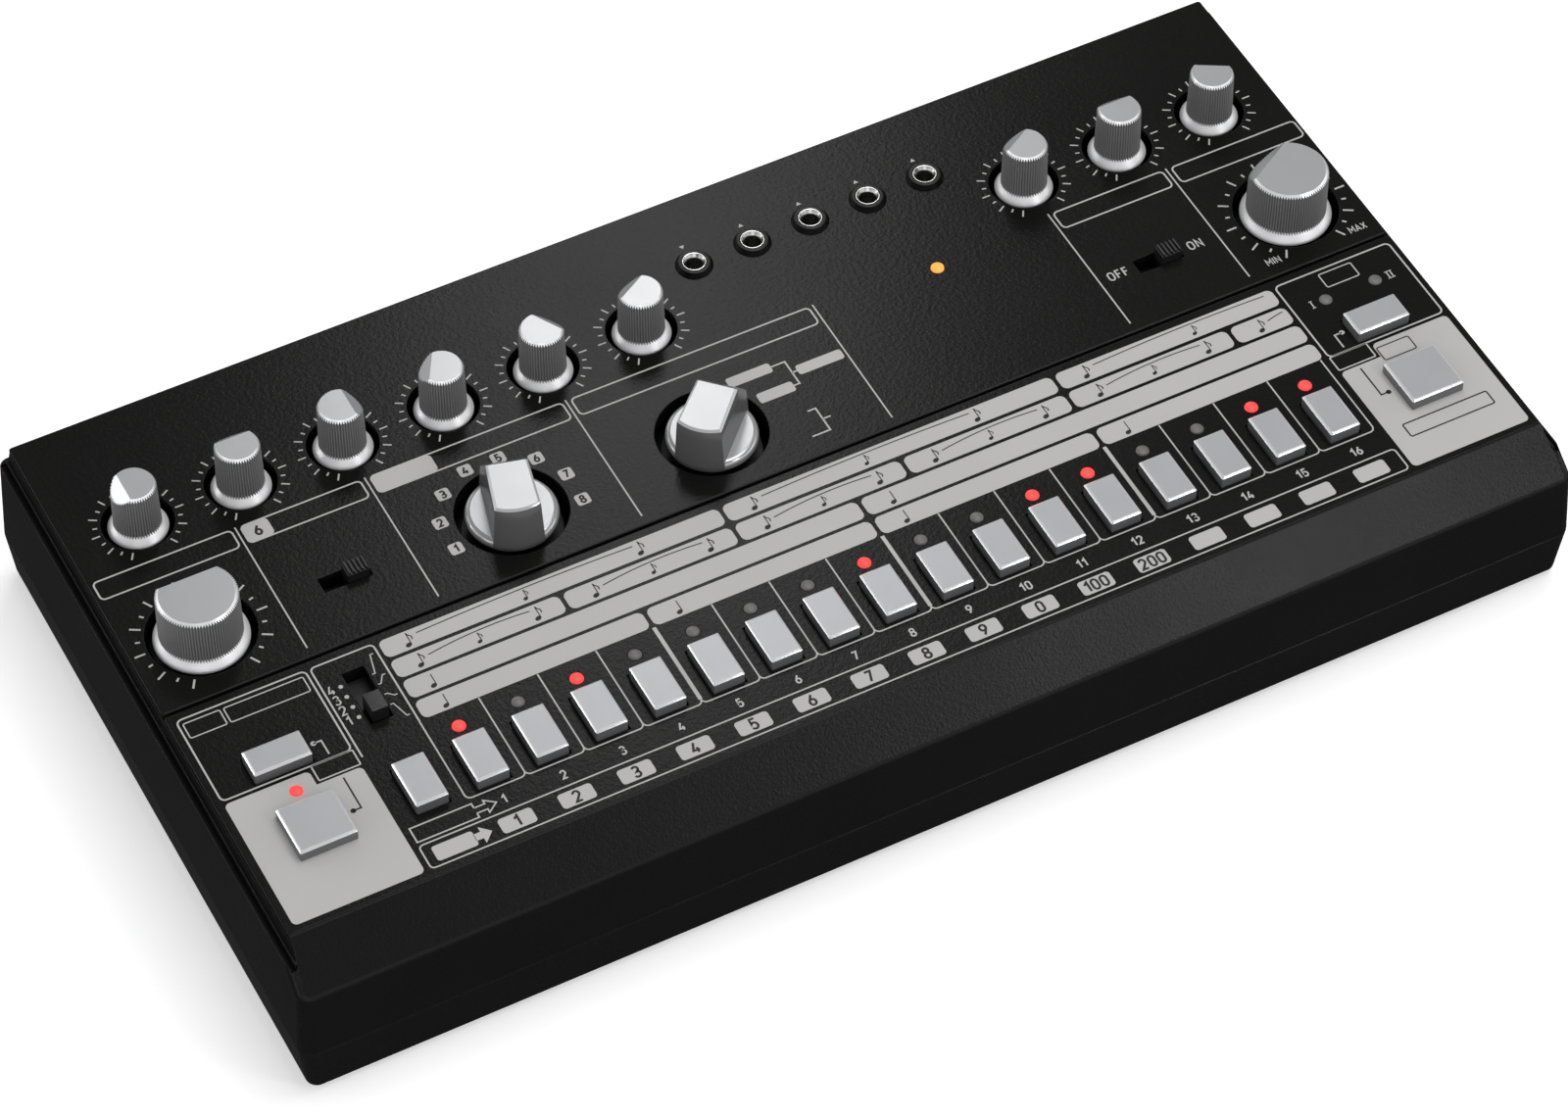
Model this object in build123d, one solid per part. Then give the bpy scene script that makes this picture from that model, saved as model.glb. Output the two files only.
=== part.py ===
from build123d import *
import os
import math

os.makedirs("parts", exist_ok=True)

# ---------------------------------------------------------------- driving dimensions (mm)
# Frame: X to the right along the long side, Y towards the rear connectors, Z up.
# Origin: centre of the bounding box, on the surface that the rubber feet stand on.
W = 305.0                 # width at the parting line of the two case halves
Y_FRONT = -82.5           # foremost line of the front wall, at the parting line
Y_REAR = 77.9             # rear wall at the parting line
Y_JACK = 82.5             # tip of the rear 6.35 mm jack bush
FOOT = 1.2                # height of the case above the table
Z_FLOOR = 3.7             # inside floor of the bottom case
Z_SEAM = 14.5             # parting line
Z_SHOULDER = 36.0         # ledge beside the raised panel area
Z_DECK = 39.1             # top of the moulded deck that carries the two panels
Z_TOP = 40.6              # printed panel surface
PITCH = 13.6              # pitch of the sixteen step buttons
WALL = 2.5
PLATE = Z_TOP - Z_DECK    # sheet thickness of the panels
HX = 148.6                # half width of the panels
Y_PF = -71.14             # front edge of the step panel
Y_PB = 75.67              # rear edge of the control panel
Y_LIP = -70.5             # front edge of the step panel sheet
GAP_Y = -7.5              # middle of the slit between the panels
GAP_W = 0.7
SLOPE_P1 = (-71.14, 40.6)     # (Y, Z) upper edge of the front bevel
SLOPE_P2 = (-81.55, 31.56)    # (Y, Z) lower edge of the front bevel
Z_IN = 36.6               # underside of the deck
Z_MB = 28.5               # top of the main board
Z_SB = 30.9               # top of the step board
Z_IO = 16.6               # top of the connector board
PCB = 1.6


def px(u):
    """X of a layout column, counted in step pitches from the left edge of step 1."""
    return (u - 7.4935) * PITCH


def py(v):
    """Y of a layout row, counted in step pitches from the lower print border."""
    return v * PITCH - 68.9


# ---------------------------------------------------------------- layout
SMALL_Y = py(8.274)
SMALL = {                                      # name: (X, pointer angle clockwise from straight back)
    "knob_accent": (px(-2.216), -90), "knob_bass_drum": (px(-0.448), 0),
    "knob_snare_drum": (px(1.320), 90), "knob_tom": (px(3.088), -60),
    "knob_cymbal_clap": (px(4.856), 60), "knob_hi_hat": (px(6.624), -30),
    "knob_distortion": (px(13.692), -30), "knob_tone": (px(15.461), 0),
    "knob_level": (px(17.232), 30),
}
BIG_Y = py(5.77)
BIG = {"knob_tempo": (px(-2.236), 0), "knob_volume": (px(17.228), -30)}
SEL = {"selector_instrument": (px(3.089), 15), "selector_mode": (px(6.622), 45)}
JACKS = [px(8.021 + 1.0685 * i) for i in range(5)]
JACK_Y = py(9.137)
SW_Y = py(5.753)
SW = {"slider_cymbal_clap": px(0.20), "slider_distortion": px(14.80)}
SCALE_X, SCALE_Y1 = px(-0.484), py(3.137)
SCALE_STEP = 2.96
LED_Y = py(2.27)
STEP_X = [px(i + 0.5) for i in range(16)]
STEP_Y = py(1.49)
LEDS = [(x, LED_Y) for x in STEP_X] + [(px(-2.216), LED_Y), (px(16.758), py(3.716)), (px(17.695), py(3.716))]
PLED = (px(11.505), py(7.242))
BUTTONS = {"button_step_%02d" % (i + 1): (STEP_X[i], STEP_Y, 7.3, 12.5) for i in range(16)}
BUTTONS["button_scale_function"] = (px(-0.517), STEP_Y, 7.3, 12.5)
BUTTONS["button_clear"] = (px(-2.226), py(2.935), 13.0, 7.0)
BUTTONS["button_pattern_group"] = (px(17.226), py(2.935), 13.0, 7.0)
BUTTONS["button_start_stop"] = (px(-2.226), STEP_Y, 12.9, 12.7)
BUTTONS["button_write_next"] = (px(17.226), STEP_Y, 12.9, 12.7)

R_SMALL, R_BIG, R_SEL = 8.0, 12.0, 12.5        # round openings around the knobs
TRAVEL = 0.6                                   # button stroke

CASE_SCREWS = [(s * 145.3, y) for s in (-1, 1) for y in (-62.0, -9.0, 69.0)]
MB_SCREWS = [(-120, 28), (-36, 28), (30, 20), (76, 28), (120, 28), (-72, 49), (96.4, 49)]
SB_SCREWS = [(-90, -20), (-30, -20), (30, -20), (90, -20), (-90, -63), (10, -63), (100, -63)]
IO_SCREWS = [(-132, 62), (-45, 62), (80, 62), (140, 55)]
FEET = [(s * 132.0, y) for s in (-1, 1) for y in (-64.0, 60.0)]

MIDI_X = (-62.0, -88.0)
USB_X, DC_X, PWR_X, MIX_X = 96.0, 118.0, 138.0 - 3.0, -118.0 + 2.0
Z_CON = 25.3              # axis height of the round rear sockets
Z_PWR = 22.5              # height of the power switch slot


def cyl(x, y, z0, z1, r):
    return Pos(x, y, (z0 + z1) / 2) * Cylinder(r, z1 - z0)


def ycyl(x, z, y0, y1, r):
    return Pos(x, (y0 + y1) / 2, z) * Rot(90, 0, 0) * Cylinder(r, y1 - y0)


def block(x0, x1, y0, y1, z0, z1):
    return Pos((x0 + x1) / 2, (y0 + y1) / 2, (z0 + z1) / 2) * Box(x1 - x0, y1 - y0, z1 - z0)


def plan(hx, y0, y1, r, z):
    return Pos(0, (y0 + y1) / 2, z) * RectangleRounded(2 * hx, y1 - y0, r)


def frustum(hx0, y00, y01, r0, z0, hx1, y10, y11, r1, z1):
    return loft([plan(hx0, y00, y01, r0, z0), plan(hx1, y10, y11, r1, z1)])


def above_bevel(offset=0.0):
    """Big block whose lower face is the front bevel plane, moved inwards by offset."""
    (ya, za), (yb, zb) = SLOPE_P1, SLOPE_P2
    ang = math.degrees(math.atan2(za - zb, ya - yb))
    b = Pos(0, 0, 60 - offset) * Box(400, 160, 120)
    return Pos(0, (ya + yb) / 2, (za + zb) / 2) * Rot(ang, 0, 0) * b


def save(shape, name):
    if isinstance(shape, (list, tuple)):
        sol = []
        for s in shape:
            sol += list(s.solids())
        shape = Compound(children=sol) if len(sol) > 1 else sol[0]
    export_step(shape, "parts/%s.step" % name)


# ---------------------------------------------------------------- bottom case
bot = frustum(151.1, -81.3, 77.0, 2.6, FOOT, W / 2, Y_FRONT, Y_REAR, 3.2, Z_SEAM - 0.2)
bot = fillet(bot.faces().sort_by(Axis.Z)[0].edges(), 1.1)
bot += frustum(W / 2, Y_FRONT, Y_REAR, 3.2, Z_SEAM - 0.2, W / 2 - 0.25, Y_FRONT + 0.25, Y_REAR - 0.25, 2.95, Z_SEAM)
bot -= frustum(148.7, -78.9, 74.6, 1.6, Z_FLOOR, W / 2 - WALL, Y_FRONT + WALL, Y_REAR - WALL, 2.0, Z_SEAM + 0.001)
lip = plan(W / 2 - WALL + 0.05, Y_FRONT + WALL - 0.05, Y_REAR - WALL + 0.05, 2.0, 12.6)
lip_in = plan(W / 2 - WALL - 1.4, Y_FRONT + WALL + 1.4, Y_REAR - WALL - 1.4, 1.0, 12.6)
lip_up = plan(W / 2 - WALL - 0.3, Y_FRONT + WALL + 0.3, Y_REAR - WALL - 0.3, 2.0, 12.6)
bot += extrude(lip, 1.9) - extrude(lip_in, 1.9)
bot += extrude(lip_up, 3.7) - extrude(lip_in, 3.7)
for x, y in CASE_SCREWS:
    bot += cyl(x, y, 3.0, Z_SEAM, 4.2)
for x, y in IO_SCREWS:
    bot += cyl(x, y, 3.0, Z_IO - PCB, 3.2)
for x, y in CASE_SCREWS:
    bot -= cyl(x, y, 0.5, 6.2, 3.3)
    bot -= cyl(x, y, 5.0, 20, 1.65)
for x, y in IO_SCREWS:
    bot -= cyl(x, y, 6.0, 20, 1.3)
for x, y in FEET:
    bot -= cyl(x, y, 0.0, 2.0, 6.05)
# ventilation slits in the floor
for i in range(9):
    bot -= Pos(-24 + i * 6.0, -10, 2.5) * Box(2.0, 34, 6)
# the lip stops short of the screw bosses and of the rear sockets
for x, y in CASE_SCREWS:
    bot -= cyl(x, y, Z_SEAM, 20, 4.5)
bot -= block(MIX_X - 9, MIX_X + 9, 70, 75.45, Z_SEAM, 18)
bot -= block(MIDI_X[1] - 11, MIDI_X[0] + 11, 70, 75.45, Z_SEAM, 18)
bot -= block(USB_X - 8, PWR_X + 8, 70, 75.45, Z_SEAM, 18)
save(bot, "bottom_case")

# ---------------------------------------------------------------- top case
top = frustum(W / 2, Y_FRONT, Y_REAR, 3.2, Z_SEAM + 0.2, 151.2, -81.3, 77.2, 2.6, Z_SHOULDER)
top += frustum(W / 2 - 0.25, Y_FRONT + 0.25, Y_REAR - 0.25, 2.95, Z_SEAM, W / 2, Y_FRONT, Y_REAR, 3.2, Z_SEAM + 0.2)
deck = frustum(149.35, -82.0, 76.15, 0.8, Z_SHOULDER - 0.5, HX + 0.05, -82.0, Y_PB + 0.05, 0.6, Z_DECK)
top += deck
# the rim in front of the step panel carries the upper edge of the bevel
top += block(-HX, HX, -75.0, Y_LIP, Z_DECK - 1.0, Z_TOP)
top -= above_bevel()
# soft edges of the bevel
try:
    e = [k for k in top.edges() if abs(k.center().Z - SLOPE_P2[1]) < 0.6 and k.length > 200]
    top = fillet(e, 2.0)
except Exception as ex:
    print("bevel fillet skipped", ex)
# finger groove along each side, just outside the panel
for s in (-1, 1):
    g = Pos(s * 150.1, 0, Z_SHOULDER) * Box(1.3, 152.2, 2.4)
    top -= Pos(0, -0.1, 0) * g
# inside
cav = frustum(W / 2 - WALL, Y_FRONT + WALL, Y_REAR - WALL, 2.0, Z_SEAM - 0.001, 148.6, -78.8, 74.9, 1.6, 33.0)
cav += block(-146.4, 146.4, -78.9, 73.6, 32.5, Z_IN)
cav -= above_bevel(WALL)
top -= cav
for x, y in CASE_SCREWS:
    top += cyl(x, y, Z_SEAM, Z_IN + 0.5, 4.2)
for x, y in MB_SCREWS:
    top += cyl(x, y, Z_MB, Z_IN + 0.5, 3.0)
for x, y in SB_SCREWS:
    top += cyl(x, y, Z_SB, Z_IN + 0.5, 3.0)
for x, y in CASE_SCREWS:
    top -= cyl(x, y, Z_SEAM - 1, 24, 1.52)
for x, y in MB_SCREWS:
    top -= cyl(x, y, Z_MB - 1, 35.0, 1.27)
for x, y in SB_SCREWS:
    top -= cyl(x, y, Z_SB - 1, 35.5, 1.27)

Z0, Z1 = Z_IN - 1, Z_DECK + 1
cut = [cyl(x, SMALL_Y, Z0, Z1, R_SMALL + 0.2) for x, a in SMALL.values()]
cut += [cyl(x, BIG_Y, Z0, Z1, R_BIG + 0.2) for x, a in BIG.values()]
cut += [cyl(x, BIG_Y, Z0, Z1, R_SEL + 0.2) for x, a in SEL.values()]
cut += [cyl(x, JACK_Y, Z0, Z1, 3.4) for x in JACKS]
cut += [Pos(x, SW_Y, (Z0 + Z1) / 2) * Box(11.8, 4.9, Z1 - Z0) for x in SW.values()]
cut += [Pos(SCALE_X, SCALE_Y1 + 1.5 * SCALE_STEP, (Z0 + Z1) / 2) * Box(5.5, 15.6, Z1 - Z0)]
cut += [cyl(x, y, Z0, Z1, 1.9) for x, y in LEDS + [PLED]]
cut += [Pos(x, y, (Z0 + Z1) / 2) * Box(w + 1.2, d + 1.2, Z1 - Z0) for x, y, w, d in BUTTONS.values()]
for c in cut:
    top -= c
# rear sockets
top -= ycyl(MIX_X, Z_CON, 70, 80, 5.1)
for x in MIDI_X:
    top -= ycyl(x, Z_CON, 70, 80, 8.1)
top -= ycyl(MIX_X, Z_CON, 77.3, 80, 7.3)
top -= block(USB_X - 6.3, USB_X + 6.3, 70, 80, Z_IO - 0.3, Z_IO + 11.5)
top -= block(DC_X - 4.8, DC_X + 4.8, 70, 80, Z_IO - 0.3, Z_IO + 11.3)
top -= block(PWR_X - 4.6, PWR_X + 4.6, 70, 80, Z_PWR - 1.7, Z_PWR + 1.7)
save(top, "top_case")

# ---------------------------------------------------------------- panels
ctrl = block(-HX, HX, GAP_Y + GAP_W / 2, Y_PB, Z_DECK, Z_TOP)
ctrl = fillet(ctrl.edges().filter_by(Axis.Z), 0.7)
ctrl = fillet(ctrl.faces().sort_by(Axis.Z)[-1].edges(), 0.35)
cut = [cyl(x, SMALL_Y, Z_DECK - 1, Z_TOP + 1, R_SMALL) for x, a in SMALL.values()]
cut += [cyl(x, BIG_Y, Z_DECK - 1, Z_TOP + 1, R_BIG) for x, a in BIG.values()]
cut += [cyl(x, BIG_Y, Z_DECK - 1, Z_TOP + 1, R_SEL) for x, a in SEL.values()]
cut += [cyl(x, JACK_Y, Z_DECK - 1, Z_TOP + 1, 3.1) for x in JACKS]
cut += [Pos(x, SW_Y, Z_TOP) * Box(11.2, 4.3, 5) for x in SW.values()]
cut += [cyl(PLED[0], PLED[1], Z_DECK - 1, Z_TOP + 1, 1.58)]
for c in cut:
    ctrl -= c
save(ctrl, "control_panel")

stp = block(-HX, HX, Y_LIP, GAP_Y - GAP_W / 2, Z_DECK, Z_TOP)
stp = fillet(stp.edges().filter_by(Axis.Z).sort_by(Axis.Y)[-2:], 0.7)
tf = stp.faces().sort_by(Axis.Z)[-1]
stp = fillet(tf.edges().sort_by(Axis.Y)[1:], 0.35)
cut = [Pos(SCALE_X, SCALE_Y1 + 1.5 * SCALE_STEP, Z_TOP) * Box(5.1, 15.0, 5)]
cut += [cyl(x, y, Z_DECK - 1, Z_TOP + 1, 1.58) for x, y in LEDS]
cut += [Pos(x, y, Z_TOP) * Box(w + 0.8, d + 0.8, 5) for x, y, w, d in BUTTONS.values()]
for c in cut:
    stp -= c
save(stp, "step_panel")

# ---------------------------------------------------------------- circuit boards
mb = block(-141, 141, -5.0, 53.0, Z_MB - PCB, Z_MB)
mb += block(-2, 74, 52.0, 62.0, Z_MB - PCB, Z_MB)
for x, y in MB_SCREWS:
    mb -= cyl(x, y, Z_MB - 3, Z_MB + 1, 1.5)
save(mb, "main_board")
sb = block(-141, 141, -68.5, -9.0, Z_SB - PCB, Z_SB)
for x, y in SB_SCREWS:
    sb -= cyl(x, y, Z_SB - 3, Z_SB + 1, 1.5)
save(sb, "step_board")
io = block(-138, 144, 49.0, 73.5, Z_IO - PCB, Z_IO)
io -= block(140, 150, 64, 76, 10, 20)
for x, y in IO_SCREWS:
    io -= cyl(x, y, Z_IO - 3, Z_IO + 1, 1.5)
save(io, "io_board")

# ---------------------------------------------------------------- controls under the panels
pots = []
for x, y in [(v[0], SMALL_Y) for v in SMALL.values()] + [(v[0], BIG_Y) for v in BIG.values()]:
    b = block(x - 4.9, x + 4.9, y - 6.0, y + 5.2, Z_MB, 34.9)
    b = chamfer(b.edges().filter_by(Axis.Z), 0.8)
    b += cyl(x, y, 34.5, 37.4, 3.6)
    b -= cyl(x, y, 31.0, 40, 3.05)
    pots.append(b)
save(pots, "potentiometers")

rot = []
for x, a in SEL.values():
    b = cyl(x, BIG_Y, Z_MB, 34.9, 11.0)
    b += block(x - 3, x + 3, BIG_Y - 13, BIG_Y, Z_MB, 33.0)
    b += cyl(x, BIG_Y, 34.5, 37.4, 4.4)
    b -= cyl(x, BIG_Y, 31.0, 40, 3.05)
    rot.append(b)
save(rot, "rotary_switches")

sls = []
for x in SW.values():
    b = block(x - 7.0, x + 7.0, SW_Y - 3.6, SW_Y + 3.6, Z_MB, 35.4)
    b -= block(x - 4.4, x + 4.4, SW_Y - 1.1, SW_Y + 1.1, 33.0, 40)
    sls.append(b)
yc = SCALE_Y1 + 1.5 * SCALE_STEP
b = block(SCALE_X - 3.6, SCALE_X + 3.6, yc - 9.5, yc + 9.5, Z_SB, 35.6)
b -= block(SCALE_X - 1.1, SCALE_X + 1.1, yc - 6.2, yc + 6.2, 33.2, 40)
sls.append(b)
b = block(PWR_X - 5.9, PWR_X + 5.9, 66.5, 74.7, Z_IO, Z_PWR + 4.6)
b -= block(PWR_X - 4.4, PWR_X + 4.4, 70.0, 80, Z_PWR - 1.3, Z_PWR + 1.3)
sls.append(b)
save(sls, "slide_switches")

tact = []
for x, y, w, d in BUTTONS.values():
    b = block(x - 3, x + 3, y - 3, y + 3, Z_SB, 33.9)
    b = chamfer(b.edges().filter_by(Axis.Z), 0.5)
    b += cyl(x, y, 33.5, 34.3, 1.6)
    tact.append(b)
save(tact, "tact_switches")


def led(x, y, zb):
    b = cyl(x, y, zb, 35.8, 1.95)
    b += cyl(x, y, 35.0, 39.9, 1.5)
    b += Pos(x, y, 39.9) * Sphere(1.5) - Pos(x, y, 38.4) * Box(4, 4, 3)
    return b


LIT = [0, 2, 7, 10, 11, 14, 15, 16]            # steps 1, 3, 8, 11, 12, 15, 16 and run
save([led(x, y, Z_SB) for k, (x, y) in enumerate(LEDS) if k in LIT], "leds_lit")
save([led(x, y, Z_SB) for k, (x, y) in enumerate(LEDS) if k not in LIT], "leds_unlit")
save(led(PLED[0], PLED[1], Z_MB), "power_led")

# ---------------------------------------------------------------- jacks on the control panel
socks, nuts = [], []
for x in JACKS:
    b = block(x - 4.5, x + 4.5, JACK_Y - 5.2, JACK_Y + 5.2, Z_MB, 36.5)
    b += cyl(x, JACK_Y, 36.0, 42.0, 3.0)
    b -= cyl(x, JACK_Y, 29.1, 43.0, 1.8)
    socks.append(b)
    n = cyl(x, JACK_Y, Z_TOP, 41.7, 4.3)
    n = chamfer(n.faces().sort_by(Axis.Z)[-1].edges(), 0.4)
    n -= cyl(x, JACK_Y, Z_TOP - 1, 43.0, 3.03)
    nuts.append(n)
save(socks, "minijack_sockets")
save(nuts, "minijack_nuts")

# ---------------------------------------------------------------- rear connectors
b = block(MIX_X - 8, MIX_X + 8, 54.0, 74.7, Z_IO, 32.3)
b += ycyl(MIX_X, Z_CON, 74.5, Y_JACK, 4.75)
b -= ycyl(MIX_X, Z_CON, 56.0, Y_JACK + 1, 3.25)
n = ycyl(MIX_X, Z_CON, 77.3, 80.7, 7.0) - ycyl(MIX_X, Z_CON, 70, 90, 4.8)
save([b, n], "mix_out_jack")

mids = []
for x in MIDI_X:
    b = block(x - 10, x + 10, 61.5, 74.7, Z_IO, 32.3)
    b += ycyl(x, Z_CON, 74.5, 77.3, 7.8)
    b -= ycyl(x, Z_CON, 75.9, 78, 6.9) - ycyl(x, Z_CON, 70, 78, 5.9)
    b -= block(x - 1.2, x + 1.2, 75.9, 78, Z_CON - 7.0, Z_CON - 4.9)
    for k in range(5):
        a = math.radians(k * 45)
        b -= ycyl(x + 3.9 * math.cos(a), Z_CON + 3.9 * math.sin(a), 70.5, 78, 0.8)
    mids.append(b)
save(mids, "midi_sockets")

b = block(USB_X - 6.0, USB_X + 6.0, 60.0, 77.6, Z_IO, Z_IO + 11.2)
b -= block(USB_X - 4.25, USB_X + 4.25, 68.0, 80.0, Z_IO + 1.7, Z_IO + 9.5)
b += block(USB_X - 2.8, USB_X + 2.8, 67.0, 76.8, Z_IO + 4.0, Z_IO + 7.2)
b -= (Pos(USB_X - 6.0, 0, Z_IO + 11.2) * Rot(0, 45, 0) * Box(2.4, 200, 2.4)) + (Pos(USB_X + 6.0, 0, Z_IO + 11.2) * Rot(0, 45, 0) * Box(2.4, 200, 2.4))
save(b, "usb_socket")

ZD = Z_IO + 6.6
b = block(DC_X - 4.5, DC_X + 4.5, 63.0, 77.5, Z_IO, Z_IO + 11.0)
b -= ycyl(DC_X, ZD, 68.0, 80, 2.8)
b += ycyl(DC_X, ZD, 66.0, 77.0, 1.0)
save(b, "dc_inlet")

b = block(PWR_X - 3.9, PWR_X - 1.4, 71.0, 79.6, Z_PWR - 1.1, Z_PWR + 1.1)
b = fillet(b.faces().sort_by(Axis.Y)[-1].edges(), 0.4)
save(b, "power_slider")

# ---------------------------------------------------------------- feet and screws
feet = []
for x, y in FEET:
    f = cyl(x, y, 0.0, 2.0, 6.0)
    f = fillet(f.faces().sort_by(Axis.Z)[0].edges(), 0.5)
    feet.append(f)
save(feet, "rubber_feet")

scr = []
for x, y in CASE_SCREWS:
    s = cyl(x, y, 4.0, 6.2, 2.8) + cyl(x, y, 6.0, 21.0, 1.5)
    s = s - cyl(x, y, 3.0, 5.2, 0.9)
    scr.append(s)
for x, y in MB_SCREWS:
    z = Z_MB - PCB
    scr.append(cyl(x, y, z - 1.7, z, 2.3) + cyl(x, y, z - 0.2, z + 7.0, 1.25))
for x, y in SB_SCREWS:
    z = Z_SB - PCB
    scr.append(cyl(x, y, z - 1.7, z, 2.3) + cyl(x, y, z - 0.2, z + 5.6, 1.25))
for x, y in IO_SCREWS:
    scr.append(cyl(x, y, Z_IO, Z_IO + 1.7, 2.3) + cyl(x, y, Z_IO - 8.0, Z_IO + 0.2, 1.25))
save(scr, "screws")


# ---------------------------------------------------------------- knobs
def turned(points, x, y):
    """Body of revolution about a vertical axis through (x, y); points are (radius, Z)."""
    face = make_face(Polyline(*[(r, 0, z) for r, z in points], close=True))
    return Pos(x, y, 0) * revolve(face, Axis.Z, 360)


def facet(x, y, ang, d_top, z_top, slope):
    """Cutter for the sloping pointer facet; ang is clockwise from straight back."""
    b = Pos(0, 0, 20) * Box(60, 60, 40)
    b = Rot(-slope, 0, 0) * b
    b = Pos(0, d_top, z_top) * b
    return Pos(x, y, 0) * Rot(0, 0, -ang) * b


def knob(x, y, ang, rs, zs, rb, rt, zr, rc, zc, chord, slope):
    body = turned([(0, zs), (rs - 0.25, zs), (rs, zs + 0.3), (rb + 0.05, Z_TOP + 0.1), (rb, Z_TOP + 0.1),
                   (rt, zr), (rc, zc), (0, zc)], x, y)
    body -= facet(x, y, ang, chord, zc, slope)
    body -= cyl(x, y, zs - 1, 49.5, 3.0)
    shaft = cyl(x, y, 31.6, 49.5, 3.0)
    return [body, shaft]


for n, (x, a) in SMALL.items():
    save(knob(x, SMALL_Y, a, 6.62, 39.1, 5.24, 4.96, 52.35, 4.42, 53.2, 2.24, 47), n)
for n, (x, a) in BIG.items():
    save(knob(x, BIG_Y, a, 10.38, 39.1, 9.04, 8.84, 52.6, 8.05, 53.3, 4.86, 51.0), n)


def selector(x, y, ang):
    """Round disc with a straight bar across it; the bar tapers towards its sloping pointer end."""
    z_l = 52.3
    disc = turned([(0, 39.2), (10.1, 39.2), (10.28, 39.4), (10.25, 39.9), (9.45, 41.4), (0, 41.4)], 0, 0)
    bar = loft([Pos(0, 0, 39.4) * make_face(Polyline((-5.68, -12), (5.68, -12), (5.68, 12), (-5.68, 12), close=True)),
                Pos(0, 0, z_l) * make_face(Polyline((-5.08, -12), (5.08, -12), (4.35, 12), (-4.35, 12), close=True))])
    bar = bar & turned([(0, 39.4), (10.26, 39.4), (10.05, z_l), (0, z_l)], 0, 0)
    bar -= facet(0, 0, 0, 3.75, z_l, 48.0)
    b = disc + bar
    b -= cyl(0, 0, 38, 49.5, 3.0)
    b = Pos(x, y, 0) * Rot(0, 0, -ang) * b
    return [b, cyl(x, y, 31.6, 49.5, 3.0)]


for n, (x, a) in SEL.items():
    save(selector(x, BIG_Y, a), n)

# ---------------------------------------------------------------- slide switch caps
SW_TRAVEL = 5.0
for n, x in SW.items():
    xr = x + SW_TRAVEL / 2            # both switches rest at their right-hand position
    c = block(xr - 2.5, xr + 2.5, SW_Y - 1.9, SW_Y + 1.9, 36.0, 43.4)
    c = fillet(c.faces().sort_by(Axis.Z)[-1].edges(), 0.35)
    for k in (-1.5, -0.5, 0.5, 1.5):
        c -= Pos(xr + k, SW_Y, 43.4) * Box(0.35, 6, 0.6)
    c += block(xr - 1.7, xr + 1.7, SW_Y - 1.0, SW_Y + 1.0, 33.3, 36.5)
    save(c, n)
c = block(SCALE_X - 2.0, SCALE_X + 2.0, SCALE_Y1 - 2.7, SCALE_Y1 + 2.7, 36.0, 43.8)
c = fillet(c.faces().sort_by(Axis.Z)[-1].edges(), 0.4)
c += block(SCALE_X - 1.0, SCALE_X + 1.0, SCALE_Y1 - 1.6, SCALE_Y1 + 1.6, 33.5, 36.5)
save(c, "slider_scale")

# ---------------------------------------------------------------- push buttons
Z_CAP = Z_TOP + 2.8                # flat top of every button
for n, (x, y, w, d) in BUTTONS.items():
    c = block(x - w / 2, x + w / 2, y - d / 2, y + d / 2, 35.6, Z_CAP - 0.45)
    c += loft([Pos(x, y, Z_CAP - 0.45) * Rectangle(w, d), Pos(x, y, Z_CAP) * Rectangle(w - 1.3, d - 1.3)])
    c += block(x - w / 2 - 0.9, x + w / 2 + 0.9, y - d / 2 - 0.9, y + d / 2 + 0.9, 35.0, 36.0)
    c -= block(x - w / 2 + 1.1, x + w / 2 - 1.1, y - d / 2 + 1.1, y + d / 2 - 1.1, 34.0, 41.4)
    c += cyl(x, y, 35.0, 42.0, 1.5)
    save(c, n)

print("parts written:", len(os.listdir("parts")))
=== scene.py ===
import bpy
import bmesh
import math
from mathutils import Matrix, Vector


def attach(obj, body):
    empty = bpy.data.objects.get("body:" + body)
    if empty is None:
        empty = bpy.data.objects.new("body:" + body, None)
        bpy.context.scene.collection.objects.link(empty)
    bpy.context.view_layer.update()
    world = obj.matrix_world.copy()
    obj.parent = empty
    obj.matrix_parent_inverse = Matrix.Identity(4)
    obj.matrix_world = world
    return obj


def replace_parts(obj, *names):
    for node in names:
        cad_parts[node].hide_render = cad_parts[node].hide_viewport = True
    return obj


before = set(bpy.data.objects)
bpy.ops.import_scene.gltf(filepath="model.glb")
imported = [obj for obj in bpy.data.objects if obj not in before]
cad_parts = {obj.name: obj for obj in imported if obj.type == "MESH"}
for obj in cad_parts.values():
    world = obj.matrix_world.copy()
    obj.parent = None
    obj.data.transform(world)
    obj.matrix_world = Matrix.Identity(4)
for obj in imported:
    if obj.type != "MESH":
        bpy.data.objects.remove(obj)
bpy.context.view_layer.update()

MM = 0.001
PITCH = 13.6
ZT = 40.6                                   # printed panel surface, mm


def px(u):
    return (u - 7.4935) * PITCH


def py(v):
    return v * PITCH - 68.9


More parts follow.
